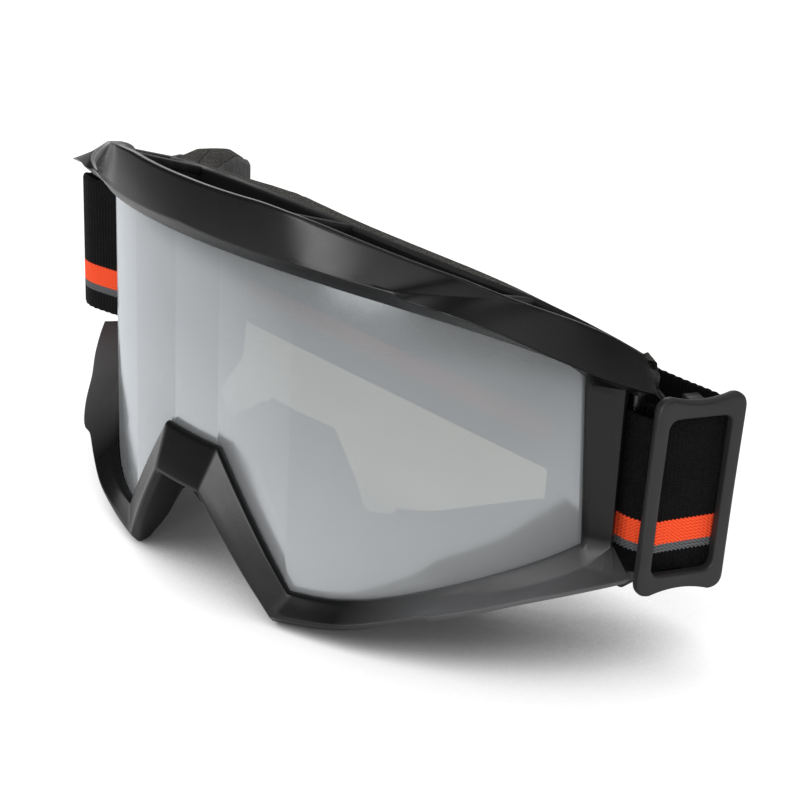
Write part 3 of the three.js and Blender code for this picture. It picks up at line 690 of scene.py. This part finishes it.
# each list runs along the lens: (s, value). rho is how far a line stands out from the lens, z its
# height, and a lead is how far along it runs ahead of the opening's edge
CREASE_RHO = [
    (0, 4.4), (40, 4.2), (46, 4.9), (48, 6.2), (56, 8), (64, 10.5), (72, 13.8), (79, 17), (88, 20.5)]
CREASE_Z = [
    (0, 32.7), (24, 31.2), (46, 28.2), (56, 26.4), (64, 24.2), (72, 21), (79, 18), (88, 14.8)]
CREASE_LEAD = [(0, 0), (64, 0), (72, 1), (79, 2.8), (83.2, 4.8)]
RIDGE_SHARE = [(0, 0.05), (45, 0.05), (47, 0.2), (52, 0.55), (58, 0.9), (64, 0.93), (84, 0.93)]
RIDGE_LIFT = [(0, 0), (45, 0), (46.5, 0.7), (58, 0.6), (66, 0), (84, 0)]
RIM_RHO = [(0, 3.2), (24, 3.4), (38, 1.4), (56, 0.8), (66, 2.2), (85, 6.2), (91, 12.5)]
RIM_Z = [
    (0, RIM_TOP), (16, 41.4), (28, 40), (38, 36.6), (48, 33.8), (58, 30.8), (66, 28.2),
    (80, 23.4), (86, 20.6), (91, 17.4),
]
RIM_LEAD = [(0, 0), (30, 2), (46, 11), (56, 10), (72, 8), (83.2, 6.5)]
RAIL_EDGE_RHO = [(26, 2.8), (41, 5.4), (54, 7.2), (56, 8.6), (70, 10.2), (78, 12.6), (85.5, 15.5)]
RAIL_EDGE_Z = [(26, -47.7), (41, -43.6), (54, -38.2), (56, -37.4), (70, -32.8), (85.5, -26.8)]
RAIL_STEP_RHO = [(26, 1.5), (41, 2), (54, 2.3), (56, 3.3), (62, 3.4), (85.5, 3.6)]
RAIL_STEP_DROP = [(26, 0.5), (48, 0.6), (56, 1.6), (70, 2.8), (85.5, 3.4)]
RAIL_EAR = 3.2
RAIL_RIDGE_LEAD = [(41, 0), (48, 2), (54, 8), (56, 9), (62, 6.5), (70, 2), (78, 0)]
NOSE_FOOT = np.array([22.5, -47.7])
NOSE_BROW = np.array([6.4, -23.6])


def brow_section(st):
    crease_s = st.s + key(CREASE_LEAD, st.s)
    crease = np.array([crease_s, key(CREASE_Z, crease_s), key(CREASE_RHO, crease_s)])
    rim_s = st.s + key(RIM_LEAD, st.s)
    rim_rho, rim_z = key(RIM_RHO, rim_s), key(RIM_Z, rim_s)
    rim = np.array([rim_s, rim_z, rim_rho])
    back_z = min(st.z + 5, rim_z - 2.5)
    share = key(RIDGE_SHARE, st.s)
    lift = np.array([0, 0.62, 0.78]) * key(RIDGE_LIFT, st.s)
    return [
        (st.s, st.z, 0.9),
        (st.s, st.z + 0.4, 1.7),
        crease,
        crease * (1 - share) + rim * share + lift,
        crease * (0.95 - share) + rim * (0.05 + share),
        rim,
        (rim_s, rim_z - 0.3, rim_rho - 1.8),
        (st.s + 3, back_z, min(0.4, rim_rho - 2.4)),
        (st.s, back_z, SEAT_BACK),
        (st.s, st.z, SEAT_BACK),
    ]


def post_section(st):
    outer = OPENING_SIDE + 4.2
    return [
        (st.s, st.z, 0.9),
        (st.s + 0.5, st.z, 1.8),
        (outer - 0.5, st.z, 5.6),
        (outer - 0.2, st.z, 5.33),
        (outer + 0.1, st.z, 5.07),
        (outer + 0.4, st.z, 4.8),
        (outer + 0.6, st.z, 2.8),
        (outer, st.z, -1.5),
        (outer - 0.2, st.z, SEAT_BACK),
        (st.s, st.z, SEAT_BACK),
    ]


def rail_section(st):
    corner = st.s == RAIL_INNER[0]
    edge_s = st.s + (-3.5 if corner else RAIL_EAR * (st.s / OPENING_SIDE) ** 8)
    edge_z, edge_rho = key(RAIL_EDGE_Z, st.s), key(RAIL_EDGE_RHO, st.s)
    lip_s = st.s + key(RAIL_RIDGE_LEAD, st.s)
    lip_z = st.z if corner or lip_s == st.s else opening_bottom(lip_s)
    step = np.array([lip_s, lip_z - key(RAIL_STEP_DROP, st.s), key(RAIL_STEP_RHO, st.s)])
    edge = np.array([edge_s, edge_z, edge_rho])
    return [
        (lip_s, lip_z, 0.9),
        (lip_s, lip_z - 0.3, 1.4),
        step,
        step * 0.67 + edge * 0.33,
        step * 0.33 + edge * 0.67,
        edge,
        (edge_s, edge_z - 2.4, edge_rho - 2.2),
        (edge_s, min(edge_z - 1.4, st.z - 4.4), -2),
        (st.s - 2.2 if corner else st.s, st.z - 4, SEAT_BACK),
        (st.s, st.z, SEAT_BACK),
    ]


def nose_section(st):
    share = (st.z - RAIL_INNER[1]) / (NOSE_TOP[1] - RAIL_INNER[1])
    edge_s, edge_z = NOSE_FOOT * (1 - share) + NOSE_BROW * share
    turn = np.sign(st.s)
    edge_s *= turn
    rho = 2.8 * (1 - share) + 5.4 * share
    out_s, out_z = st.out
    step = np.array([st.s + out_s * 0.6, st.z + out_z * 0.6, 1.7])
    edge = np.array([edge_s, edge_z, rho])
    return [
        (st.s, st.z, 0.9),
        (st.s + out_s * 0.3, st.z + out_z * 0.3, 1.5),
        step,
        step * 0.67 + edge * 0.33,
        step * 0.33 + edge * 0.67,
        edge,
        (edge_s - turn * 0.9, edge_z - 0.8, rho - 1),
        (edge_s - turn * 0.9, edge_z - 0.8, -4),
        (st.s + out_s * 4, st.z + out_z * 4, SEAT_BACK - 3),
        (st.s, st.z, SEAT_BACK),
    ]


FRONT_SECTIONS = {
    "brow": brow_section, "post": post_section, "rail": rail_section, "nose": nose_section}
OUTLINE_RADII = [0.25, 0.3, 0.5, 0.25, 0.25, 0.7, 0.7, 0.5, 0.4, 0.3]
CHANNEL_RADII = [0.2, 0.2, 0.1, 0.15]
FRONT_RADII = OUTLINE_RADII + CHANNEL_RADII


def front_section(st, _half):
    """The zone's outline, closed by the channel that holds the lens's edge."""
    groove = UNDER_LIP + 0.2
    inner = (st.s + st.out[0] * groove, st.z + st.out[1] * groove)
    behind, ahead = -LENS_THICKNESS - 1, 0.25
    channel = [(st.s, st.z, behind), (*inner, behind), (*inner, ahead), (st.s, st.z, ahead)]
    return FRONT_SECTIONS[st.zone](st) + channel


def front_frame():
    shape = ring(front_section, wrap, FRONT_RADII)
    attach(piece("front_frame_shell", [shape], GLOSS, "frame_gloss", ["front_frame"]), "frame")


# ---------- lens ----------


def lens():
    grown = [
        (st, st.s + st.out[0] * UNDER_LIP, st.z + st.out[1] * UNDER_LIP) for st in half_stations()]
    upper = [(s, z) for st, s, z in grown if st.zone == "brow"]
    lower = [(s, z) for st, s, z in grown if st.zone in ("rail", "nose")][::-1]
    end = OPENING_SIDE + UNDER_LIP
    corners = [s for s, _ in lower]
    places = np.unique(np.round(np.concatenate([np.linspace(0, end, 100), corners]), 2))
    places = places[(places >= 0) & (places <= end)]
    both = np.concatenate([-places[:0:-1], places])
    sections = []
    for s in both:
        top = np.interp(abs(s), *zip(*upper))
        bottom = np.interp(abs(s), *zip(*lower))
        back = -LENS_THICKNESS
        outline = wrap([(s, bottom, back), (s, bottom, 0), (s, top, 0), (s, top, back)])
        sections.append(rounded(outline, [0.3] * 4, 2))
    made = piece("mirror_lens", [loft(sections, False)], LENS, "lens", ["lens"])
    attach(made, "frame")


# ---------- face frame ----------

FLANGE_BOTTOM = [(20, -45), (30, -43.5), (45, -38.5), (FLANGE_HALF_WIDTH, -31)]


def flange_top(x):
    return 35 - 0.0039 * x**2 - 0.018 * max(0, x - 52) ** 2


def flange_edge(st):
    x = min(FLANGE_HALF_WIDTH, FLANGE_HALF_WIDTH * st.s / opening_side(st.z))
    if st.zone == "brow":
        return x, flange_top(x)
    if st.zone == "post":
        share = (st.z - CORNER_BOTTOM) / (CORNER_TOP - CORNER_BOTTOM)
        return x, FLANGE_BOTTOM_CORNER * (1 - share) + FLANGE_TOP_CORNER * share
    if st.zone == "rail":
        return x, key(FLANGE_BOTTOM, x)
    share = (st.z - RAIL_INNER[1]) / (NOSE_TOP[1] - RAIL_INNER[1])
    return (20 * (1 - share) + 7.5 * share) * np.sign(st.s), -45 * (1 - share) - 23 * share


def faceward(st, inward, depth):
    """(x, z, depth) a distance inside the flange's outline, which keeps its corners at the temples."""
    x, z = flange_edge(st)
    if st.zone == "nose":
        inward *= NOSE_NARROWING
        return x - st.out[0] * inward, z - st.out[1] * inward, depth
    if st.zone == "post":
        low, high = FLANGE_BOTTOM_CORNER + inward, FLANGE_TOP_CORNER - inward
        return x - inward, min(max(z, low), high), depth
    return min(x - st.out[0] * inward, FLANGE_HALF_WIDTH - inward), z - st.out[1] * inward, depth


def beside(st, distance, rho):
    return wrap((st.s + st.out[0] * distance, st.z + st.out[1] * distance, rho))


TUBE_FRONT = SEAT_BACK - 0.4
TUBE_RADII = [0.3, 0.3, 0.6, 0.6, 0.6, 0.4]
STRUTS = (24, 66)


def tube_section(st, _half):
    front = TUBE_FRONT - (3.2 if st.zone == "nose" else 0)
    root = 1 if st.out[0] == 1 else FLANGE_WIDTH - 2
    outline = [
        faceward(st, root, -FLANGE_THICKNESS),
        faceward(st, 0, -FLANGE_THICKNESS),
        faceward(st, 0, 0),
        faceward(st, FLANGE_WIDTH, 0),
    ]
    return [beside(st, 0.8, front), beside(st, 2.2, front), *on_face(outline)]


def strut(s):
    """A rib that carries the top rim across the open channel."""
    rim_s = s * 0.98
    start = Vector(wrap((rim_s, key(RIM_Z, rim_s) - 2.4, key(RIM_RHO, rim_s) - 3.2)))
    x = start.x * 0.97
    end = Vector((x, float(face_y(x)) - 1, flange_top(x) - 1))
    along = end - start
    turn = along.to_track_quat("Z", "X").to_matrix()
    return rounded_box((1.8, 2.6, along.length), (start + end) / 2, 0.45, turn)


LUG_HEAD = (5.8, 6)
LUG_ARM = (5.4, 3.2)
LUG_RISER = (2.6, 3.2)
LUG_WALL_BOTTOM = -23


def pin_lug(z, wall_reach):
    """A lug round the pin at height z, and the arm and riser that tie it to the wall."""
    x, y = PIN
    low, high = min(z - LUG_HEIGHT / 2, wall_reach), max(z + LUG_HEIGHT / 2, wall_reach)
    head = rounded_box((*LUG_HEAD, LUG_HEIGHT), (x + 0.3, y + 0.1, z), 0.9)
    arm = rounded_box((*LUG_ARM, LUG_HEIGHT), (x - 4.1, y + 0.2, z), 0.5)
    riser = rounded_box((*LUG_RISER, high - low), (x - 5.3, y + 0.2, (high + low) / 2), 0.5)
    return [head, arm, riser]


def face_frame():
    left = [strut(s) for s in STRUTS]
    left += [*pin_lug(LUG_TOP, LUG_TOP), *pin_lug(LUG_BOTTOM, LUG_WALL_BOTTOM)]
    shapes = [ring(tube_section, lambda p: p, TUBE_RADII), *left, *map(flipped, left)]
    made = piece("face_frame_shell", shapes, MATTE, "frame_matte", ["face_frame"])
    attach(made, "frame")


# ---------- foams ----------

FOAM_DEPTH = 12
BROW_LEAN = [(0, 3.6), (25, 4.6), (50, 4.4), (70, 7)]
SIDE_LEAN = 1.6
TEMPLE_START, TEMPLE_END = 44, 58
TEMPLE_EXTRA = 9.3
TEMPLE_BACK_Y = 66.4


def temple_share(x, half):
    """The pad on the wearer's right temple stands prouder than the rest; 1 there, 0 elsewhere."""
    if half > 0:
        return 0.0
    t = min(max((abs(x) - TEMPLE_START) / (TEMPLE_END - TEMPLE_START), 0), 1)
    return t * t * (3 - 2 * t)


def foam_point(st, half, inward, depth):
    x, z, _ = faceward(st, inward, 0)
    share = temple_share(x, half)
    reach = FOAM_DEPTH + TEMPLE_EXTRA * share
    if share > 0:
        reach = min(reach, TEMPLE_BACK_Y - float(face_y(x)))
    behind = depth / FOAM_DEPTH * reach
    if st.zone == "brow":
        z -= key(BROW_LEAN, st.s) * depth / FOAM_DEPTH * (1 - share)
        z += (0.4 * behind - 0.0275 * behind**2) * share
    return x, z, behind


def foam_section(start, end, inset, crown):
    def section(st, half):
        middle = (start + end) / 2
        lean = 0 if st.zone == "brow" else SIDE_LEAN / FOAM_DEPTH
        inner = FLANGE_WIDTH + 1
        return [
            foam_point(st, half, inset + lean * start, start),
            foam_point(st, half, inset + lean * middle - 0.25, middle),
            foam_point(st, half, inset + crown + lean * end, end),
            foam_point(st, half, inner - 1 + lean * end - crown, end),
            foam_point(st, half, inner + lean * middle, middle),
            foam_point(st, half, inner + lean * start, start),
        ]
    return section


# each layer of the pad: piece, CAD node, material, slot, start and end depth, inset, crown, edge radius
PADS = (
    ("foam_base_pad", "face_foam_base", FACE_FOAM, "face_foam", 0.8, 5.9, 0.4, 0.2, 0.4),
    ("foam_soft_pad", "face_foam_soft", FACE_FOAM, "face_foam", 6.0, 10.8, 0.6, 0.5, 0.6),
    ("fleece_pad", "face_fleece", FLEECE, "fleece", 10.9, 12, 1.2, 0.5, 0.5),
)


def face_pads():
    for name, node, material, slot, start, end, inset, crown, radius in PADS:
        radii = [0.4, radius, radius, radius, radius, 0.4]
        shape = ring(foam_section(start, end, inset, crown), on_face, radii)
        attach(piece(name, [shape], material, slot, [node]), "frame")


def vent_strip(stations, rise, root):
    """Filter foam that fills the wall between the lens seat and the flange."""
    def section(st):
        outline = [
            faceward(st, root, -FLANGE_THICKNESS - 0.5),
            faceward(st, FLANGE_WIDTH - 2.9, -FLANGE_THICKNESS - 0.5),
        ]
        front = TUBE_FRONT - 0.6
        return [beside(st, rise[0], front), beside(st, rise[1], front), *on_face(outline)]
    values = np.array([section(st) for st in stations])
    distance = travelled([(st.s, st.z) for st in stations])
    at = np.linspace(0, distance[-1], round(distance[-1] / 1.5) + 1)
    return [rounded(s, [0.5] * 4) for s in pchip(distance, values, at)]


def vent_foams():
    brow = [st for st in half_stations() if st.zone == "brow" and st.s <= 64]
    left = vent_strip(brow, (3.5, 5.2), 3.2)
    right = [s * np.array([-1, 1, 1]) for s in left[1:]][::-1]
    strip = loft([*right, *left], False)
    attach(piece("top_vent_strip", [strip], VENT_FOAM, "vent_foam", ["top_vent_foam"]), "frame")
    rail = [st for st in half_stations() if st.zone == "rail" and 33 <= st.s <= 70]
    low = loft(vent_strip(rail, (4.6, 6.5), 1.5), False)
    for side, shape in (("left", low), ("right", flipped(low))):
        name, node = f"{side}_bottom_vent_strip", f"{side}_bottom_vent_foam"
        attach(piece(name, [shape], VENT_FOAM, "vent_foam", [node]), "frame")


# ---------- strap ----------


class Side:
    """One side of the strap, seen from above with positive x.

    It has a slider at a plan point, slipped up by some millimetres, with the webbing heading so many
    degrees outward through it. The webbing approaches from the pin, enters at u = entry and bends away.
    """

    def __init__(self, name, slider, slip, heading, entry, approach, bend):
        self.name, self.slider, self.entry = name, np.array(slider, float), entry
        self.approach, self.bend = approach, bend
        self.hand = 1 if name == "left" else -1
        self.slip = slip
        angle = math.radians(heading)
        self.along = np.array([math.sin(angle), math.cos(angle)])
        self.outward = np.array([math.cos(angle), -math.sin(angle)])

    def at(self, u, w):
        return self.slider + self.along * u + self.outward * w


LEFT = Side(
    "left", (85.1, 55), 1, 23, -6.5, [(PIN[0], 48.6), (76.4, 48.3)],
    [(86.7, 65.9), (85.7, 67.1), (84, 67.9), (81.6, 68.4)],
)
RIGHT = Side(
    "right", (90.3, 59.6), 0, -41, -10.2,
    [(PIN[0], 48.6), (78, 48), (88, 45.6), (95.5, 44.7), (98.6, 46.2)],
    [(80.5, 67.6), (79.2, 68.4)],
)
SIDES = (LEFT, RIGHT)
STRAP_LEVEL = -SLIDER_THICKNESS / 2 - 0.3 - STRAP_THICKNESS / 2
CENTRE_BAR_TOP = STRAP_LEVEL - STRAP_THICKNESS / 2 - 0.3
CENTRE_BAR_THICKNESS = 1.8
CENTRE_BAR_WIDTH = 3.5
FOOT_SPARE = 1.2
SLIDER_DIP = 1.1
SIDE_END = 9.6
REAR_START = 74
SELVAGE = 0.7
SCALLOP_HEIGHT = 0.1
SCALLOP_SPACING = 1.9


def strap_lift(x):
    """The strap hangs a little askew: lower on the wearer's left than on the right."""
    return np.interp(x, [-STRAP_LEVEL_FROM, STRAP_LEVEL_FROM], [STRAP_LIFT_RIGHT, STRAP_LIFT_LEFT])


def ribbon(side, path):
    """Upright webbing along a path seen from above, with rounded selvages."""
    path = np.asarray(path, float)
    tangent = np.gradient(path, axis=0)
    tangent /= np.linalg.norm(tangent, axis=1)[:, None]
    normal = np.stack([tangent[:, 1], -tangent[:, 0]], 1)
    run = travelled(path)
    top, bottom = STRAP_TOP - SELVAGE, STRAP_TOP - STRAP_WIDTH + SELVAGE
    rows = np.linspace(bottom, top, 18)
    half = STRAP_THICKNESS / 2
    bulge = [(0.5, 0.45), (SELVAGE, 0.0), (0.5, -0.45)]
    profile = [(half, z) for z in rows]
    profile += [(reach, top + rise) for rise, reach in bulge]
    profile += [(-half, z) for z in rows[::-1]]
    profile += [(-reach, bottom - rise) for rise, reach in bulge]
    profile = np.array(profile)
    sections = []
    for point, way, distance in zip(path, normal, run):
        scallop = SCALLOP_HEIGHT * math.sin(distance * 2 * math.pi / SCALLOP_SPACING)
        edge = np.abs(profile[:, 1] - STRAP_MIDDLE) > STRAP_WIDTH / 2 - SELVAGE - 0.01
        z = profile[:, 1] + np.where(edge, np.sign(profile[:, 1] - STRAP_MIDDLE) * scallop, 0)
        plan = point + way * profile[:, :1]
        z = z + strap_lift(plan[:, 0] * side.hand)
        sections.append(np.column_stack([plan, z]))
    points, faces, _ = loft(sections, False)
    size = len(profile)
    uv = [np.array([(run[i // size], profile[i % size, 1]) for i in face]) for face in faces]
    return points, faces, uv


def side_path(side):
    """From the sewn end under the centre bar, round the pin, and out through the slider."""
    start = side.at(2, CENTRE_BAR_TOP - CENTRE_BAR_THICKNESS - STRAP_THICKNESS)
    leave = (PIN[0] + 0.4, PIN[1] + PIN_TURN)
    angles = math.pi / 2 + math.pi * (np.arange(9) + 0.5) / 9.5
    turn = np.stack([PIN[0] + PIN_TURN * np.cos(angles), PIN[1] + PIN_TURN * np.sin(angles)], 1)
    through = [side.at(u, STRAP_LEVEL) for u in (side.entry, side.entry + 2.7, 0, 8.5, SIDE_END)]
    return curve_through([start, leave, *turn, *side.approach, *through], 0.45)


def bend_path(side):
    """From the slider round the bend to the start of the rear run."""
    lead_in = side.at(SIDE_END - 3, STRAP_LEVEL)
    points = [lead_in, side.at(SIDE_END, STRAP_LEVEL), *side.bend, (REAR_START + 4, REAR_RUN_Y)]
    path = curve_through([*points, (REAR_START, REAR_RUN_Y), (REAR_START - 4, REAR_RUN_Y)], 0.4)
    begin = np.argmin(np.linalg.norm(path - side.at(SIDE_END, STRAP_LEVEL), axis=1))
    finish = np.argmin(np.abs(path[:, 0] - REAR_START) + (path[:, 1] < REAR_RUN_Y - 3) * 100)
    path = path[begin:finish + 1]
    path[0], path[-1] = side.at(SIDE_END, STRAP_LEVEL), (REAR_START, REAR_RUN_Y)
    return path


def on_side(side, shape):
    return shape if side is LEFT else flipped(shape)


def in_frame(side, x, y):
    """A plan point on that side as a point of the frame, in metres."""
    return tuple(placed((x if side is LEFT else -x, y, STRAP_MIDDLE)))


GIVE_END = 42


def webbing(side):
    body = f"{side.name}_side"
    run = piece(
        f"{side.name}_side_webbing", [on_side(side, ribbon(side, side_path(side)))],
        WEBBING, "webbing", [f"{side.name}_side_strap"])
    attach(run, body)
    bend_shape = on_side(side, ribbon(side, bend_path(side)))
    bend = piece(f"{side.name}_bend_webbing", [bend_shape], WEBBING, "webbing")
    leaves_side = in_frame(side, *side.at(SIDE_END, STRAP_LEVEL))
    in_frame(side, REAR_START, REAR_RUN_Y)
    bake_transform(bend)
    rear_path = resampled([(REAR_START, REAR_RUN_Y), (0, REAR_RUN_Y)], 0.5)
    rear_shape = on_side(side, ribbon(side, rear_path))
    rear = piece(f"{side.name}_rear_webbing", [rear_shape], WEBBING, "webbing", ["rear_strap"])
    give_with_rear(rear, side)


def give_with_rear(made, side):
    """Bakes the piece's placement. The elastic stretches between the frame and the part of the strap that
    goes back over the head, but nothing here makes the piece stretch.
    """
    start, end = in_frame(side, REAR_START, REAR_RUN_Y), in_frame(side, GIVE_END, REAR_RUN_Y)
    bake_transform(made)


GRIP_LINES = (("upper", -1.5), ("middle", -9.5), ("lower", -25))
GRIP_WAVE = 1.6
GRIP_WAVE_LENGTH = 15
GRIP_PROUD = 0.55
GRIP_HALF = 0.8


def grip_line(side, label, z):
    """Half of a wavy bead of silicone on the inner face of the rear webbing."""
    inner = REAR_RUN_Y - STRAP_THICKNESS / 2
    angles = np.linspace(0, math.pi, 7)
    sections = []
    for x in np.arange(0, REAR_START + 0.01, 0.8):
        wave = z + GRIP_WAVE * math.sin(x * side.hand / GRIP_WAVE_LENGTH * 2 * math.pi)
        wave += strap_lift(x * side.hand)
        half_round = [(inner - GRIP_PROUD * math.sin(a), wave + GRIP_HALF * math.cos(a)) for a in angles]
        sections.append([(x, y, height) for y, height in half_round])
    shape = on_side(side, loft(sections, False))
    name, node = f"{side.name}_{label}_grip_bead", f"{label}_grip_line"
    made = piece(name, [shape], SILICONE, "grip_silicone", [node])
    give_with_rear(made, side)


# ---------- slider ----------


def plate_outline(half_width, half_height, corner, dip):
    """A rounded rectangle whose short ends dip inward, as (u, v) points."""
    def bow(a, control, b, count):
        t = np.linspace(0, 1, count, endpoint=False)[:, None]
        return (1 - t) ** 2 * np.array(a) + 2 * t * (1 - t) * np.array(control) + t**2 * np.array(b)
    w, h, c = half_width, half_height, corner
    return np.vstack([
        bow((-w + c, -h), (0, -h + 2 * dip), (w - c, -h), 16),
        bow((w - c, -h), (w, -h), (w, -h + c), 8),
        bow((w, -h + c), (w, 0), (w, h - c), 12),
        bow((w, h - c), (w, h), (w - c, h), 8),
        bow((w - c, h), (0, h - 2 * dip), (-w + c, h), 16),
        bow((-w + c, h), (-w, h), (-w, h - c), 8),
        bow((-w, h - c), (-w, 0), (-w, -h + c), 12),
        bow((-w, -h + c), (-w, -h), (-w + c, -h), 8),
    ])


def slider_space(side, points):
    """(u along the webbing, v up, w outward) points of a tilted slider, as drawing points."""
    u, v, w = np.moveaxis(np.asarray(points, float), -1, 0)
    tilt = math.radians(SLIDER_TILT)
    u, v = u * math.cos(tilt) + v * math.sin(tilt), v * math.cos(tilt) - u * math.sin(tilt)
    plan = side.slider + u[..., None] * side.along + w[..., None] * side.outward
    level = STRAP_MIDDLE + strap_lift(side.hand * REAR_START) + side.slip
    return np.concatenate([plan, (level + v)[..., None]], -1)


def slider(side):
    outer = plate_outline(SLIDER_WIDTH / 2, SLIDER_HEIGHT / 2, 3, SLIDER_DIP)
    window = plate_outline(SLIDER_WIDTH / 2 - BAR_WIDTH, STRAP_WIDTH / 2, 2.4, 0)
    half = SLIDER_THICKNESS / 2
    sections = []
    for (u0, v0), (u1, v1) in zip(window, outer):
        outline = [(u0, v0, -half), (u0, v0, half), (u1, v1, half), (u1, v1, -half)]
        sections.append(slider_space(side, rounded(outline, [0.7, 0.7, 0.9, 0.9])))
    shapes = [loft(sections, True)]
    bar_half = SLIDER_HEIGHT / 2 - SLIDER_DIP - 0.5
    bar_back = CENTRE_BAR_TOP - CENTRE_BAR_THICKNESS
    foot = bar_half - STRAP_WIDTH / 2 - FOOT_SPARE
    bar_size = (CENTRE_BAR_WIDTH, 2 * bar_half, CENTRE_BAR_THICKNESS)
    blocks = [(bar_size, (0, 0, CENTRE_BAR_TOP - CENTRE_BAR_THICKNESS / 2))]
    for end in (1, -1):
        size = (CENTRE_BAR_WIDTH, foot, half - 0.4 - bar_back)
        blocks.append((size, (0, end * (bar_half - foot / 2), (bar_back + half - 0.4) / 2)))
    for size, centre in blocks:
        points, faces, uv = rounded_box(size, centre, 0.4)
        shapes.append((slider_space(side, points), faces, uv))
    shapes = [on_side(side, shape) for shape in shapes]
    made = piece(f"{side.name}_slider_shell", shapes, BUCKLE, "slider", [f"{side.name}_slider"])
    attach(made, f"{side.name}_slide")


def strap_pin(side):
    length = LUG_TOP - LUG_BOTTOM + LUG_HEIGHT - 0.4
    shape = cylinder(PIN_RADIUS, length, (*PIN, (LUG_TOP + LUG_BOTTOM) / 2), 0.25)
    name, node = f"{side.name}_pin", f"{side.name}_strap_pin"
    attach(piece(name, [on_side(side, shape)], STEEL, "pin_steel", [node]), "frame")


# ---------- stage ----------


def floor():
    bpy.ops.mesh.primitive_plane_add(size=6, location=(0, 0, cad_low.z - 0.0003))
    made = bpy.context.object
    made.name = "floor"
    made.data.materials.append(floor_material())


LIGHT_AIM = (0, 0, 0.03)


def area_light(name, place, size, power):
    """A square lamp that lights the goggles but isn't mirrored in them."""
    data = bpy.data.lights.new(name, "AREA")
    data.size = size
    data.energy = power
    made = bpy.data.objects.new(name, data)
    made.location = place
    made.rotation_euler = (Vector(LIGHT_AIM) - Vector(place)).to_track_quat("-Z", "Y").to_euler()
    made.visible_glossy = False
    bpy.context.scene.collection.objects.link(made)


BACKDROP = 1.0
DOME = 1.35
HAZE_LOW, HAZE_HIGH = 0.14, 0.05
# each softbox as reflections see it: direction, cosines of its soft edge and of its core, brightness
SOFTBOXES = (
    ((-0.05, 0.36, 0.93), 0.92, 0.99, 0.8),
    ((0.31, -0.64, 0.7), 0.87, 0.98, 1.8),
    ((0.3, -0.95, 0.08), 0.92, 0.99, 7.5),
    ((-0.77, 0.6, 0.22), 0.95, 0.99, 2.0),
)


def studio_world():
    """A white backdrop for the camera, a white dome for soft light, a dark studio for reflections."""
    n = Nodes("studio", bpy.data.worlds, "World")
    way = n.add("TexCoord", out="Generated")
    studio = n.spread(n.axis(way, "Z"), -0.1, 0.5, HAZE_LOW, HAZE_HIGH)
    for aim, edge, core, power in SOFTBOXES:
        facing = n.add("VectorMath", out="Value", settings={"operation": "DOT_PRODUCT"}, i0=way, i1=aim)
        studio = n.math("ADD", studio, n.spread(facing, edge, core, 0.0, power))
    seen = n.add("Mix", i0=n.add("LightPath", out="Is Camera Ray"), i2=DOME, i3=BACKDROP)
    strength = n.add("Mix", i0=n.add("LightPath", out="Is Glossy Ray"), i2=seen, i3=studio)
    bpy.context.scene.world = n.surface(n.add("Background", Color=(1, 1, 1, 1), Strength=strength))


def lights():
    area_light("overhead_softbox", (-0.1, 0.12, 0.8), 0.35, 2)
    area_light("front_fill", (0.7, -0.9, 0.6), 0.4, 1)


CAMERA_AZIMUTH = 44.4
CAMERA_ELEVATION = 24.5
CAMERA_ROLL = 2.73
CAMERA_DISTANCE = 415.76
CAMERA_RIGHT = 41.53
CAMERA_UP = -6.26
CAMERA_LENS = 92.4


def camera():
    azimuth, elevation, roll = map(math.radians, (CAMERA_AZIMUTH, CAMERA_ELEVATION, CAMERA_ROLL))
    outward = math.cos(elevation)
    back = Vector((math.sin(azimuth) * outward, -math.cos(azimuth) * outward, math.sin(elevation)))
    level = Vector((math.cos(azimuth), math.sin(azimuth), 0))
    upright = back.cross(level)
    right = level * math.cos(roll) + upright * math.sin(roll)
    up = upright * math.cos(roll) - level * math.sin(roll)
    data = bpy.data.cameras.new("camera")
    data.lens = CAMERA_LENS
    data.sensor_width = 36
    made = bpy.data.objects.new("camera", data)
    offset = right * CAMERA_RIGHT + up * CAMERA_UP + back * CAMERA_DISTANCE
    turn = Matrix((right, up, back)).transposed().to_4x4()
    made.matrix_world = Matrix.Translation(Vector(APEX) + offset * MM) @ turn
    bpy.context.scene.collection.objects.link(made)
    bpy.context.scene.camera = made


# ---------- build ----------

front_frame()
lens()
face_frame()
face_pads()
vent_foams()
for each in SIDES:
    strap_pin(each)
    slider(each)
    webbing(each)
    for grip, grip_z in GRIP_LINES:
        grip_line(each, grip, grip_z)
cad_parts["lens_seal"].data.materials.clear()
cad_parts["lens_seal"].data.materials.append(SEAL)
floor()
studio_world()
lights()
camera()
bpy.context.scene.view_settings.view_transform = "Standard"
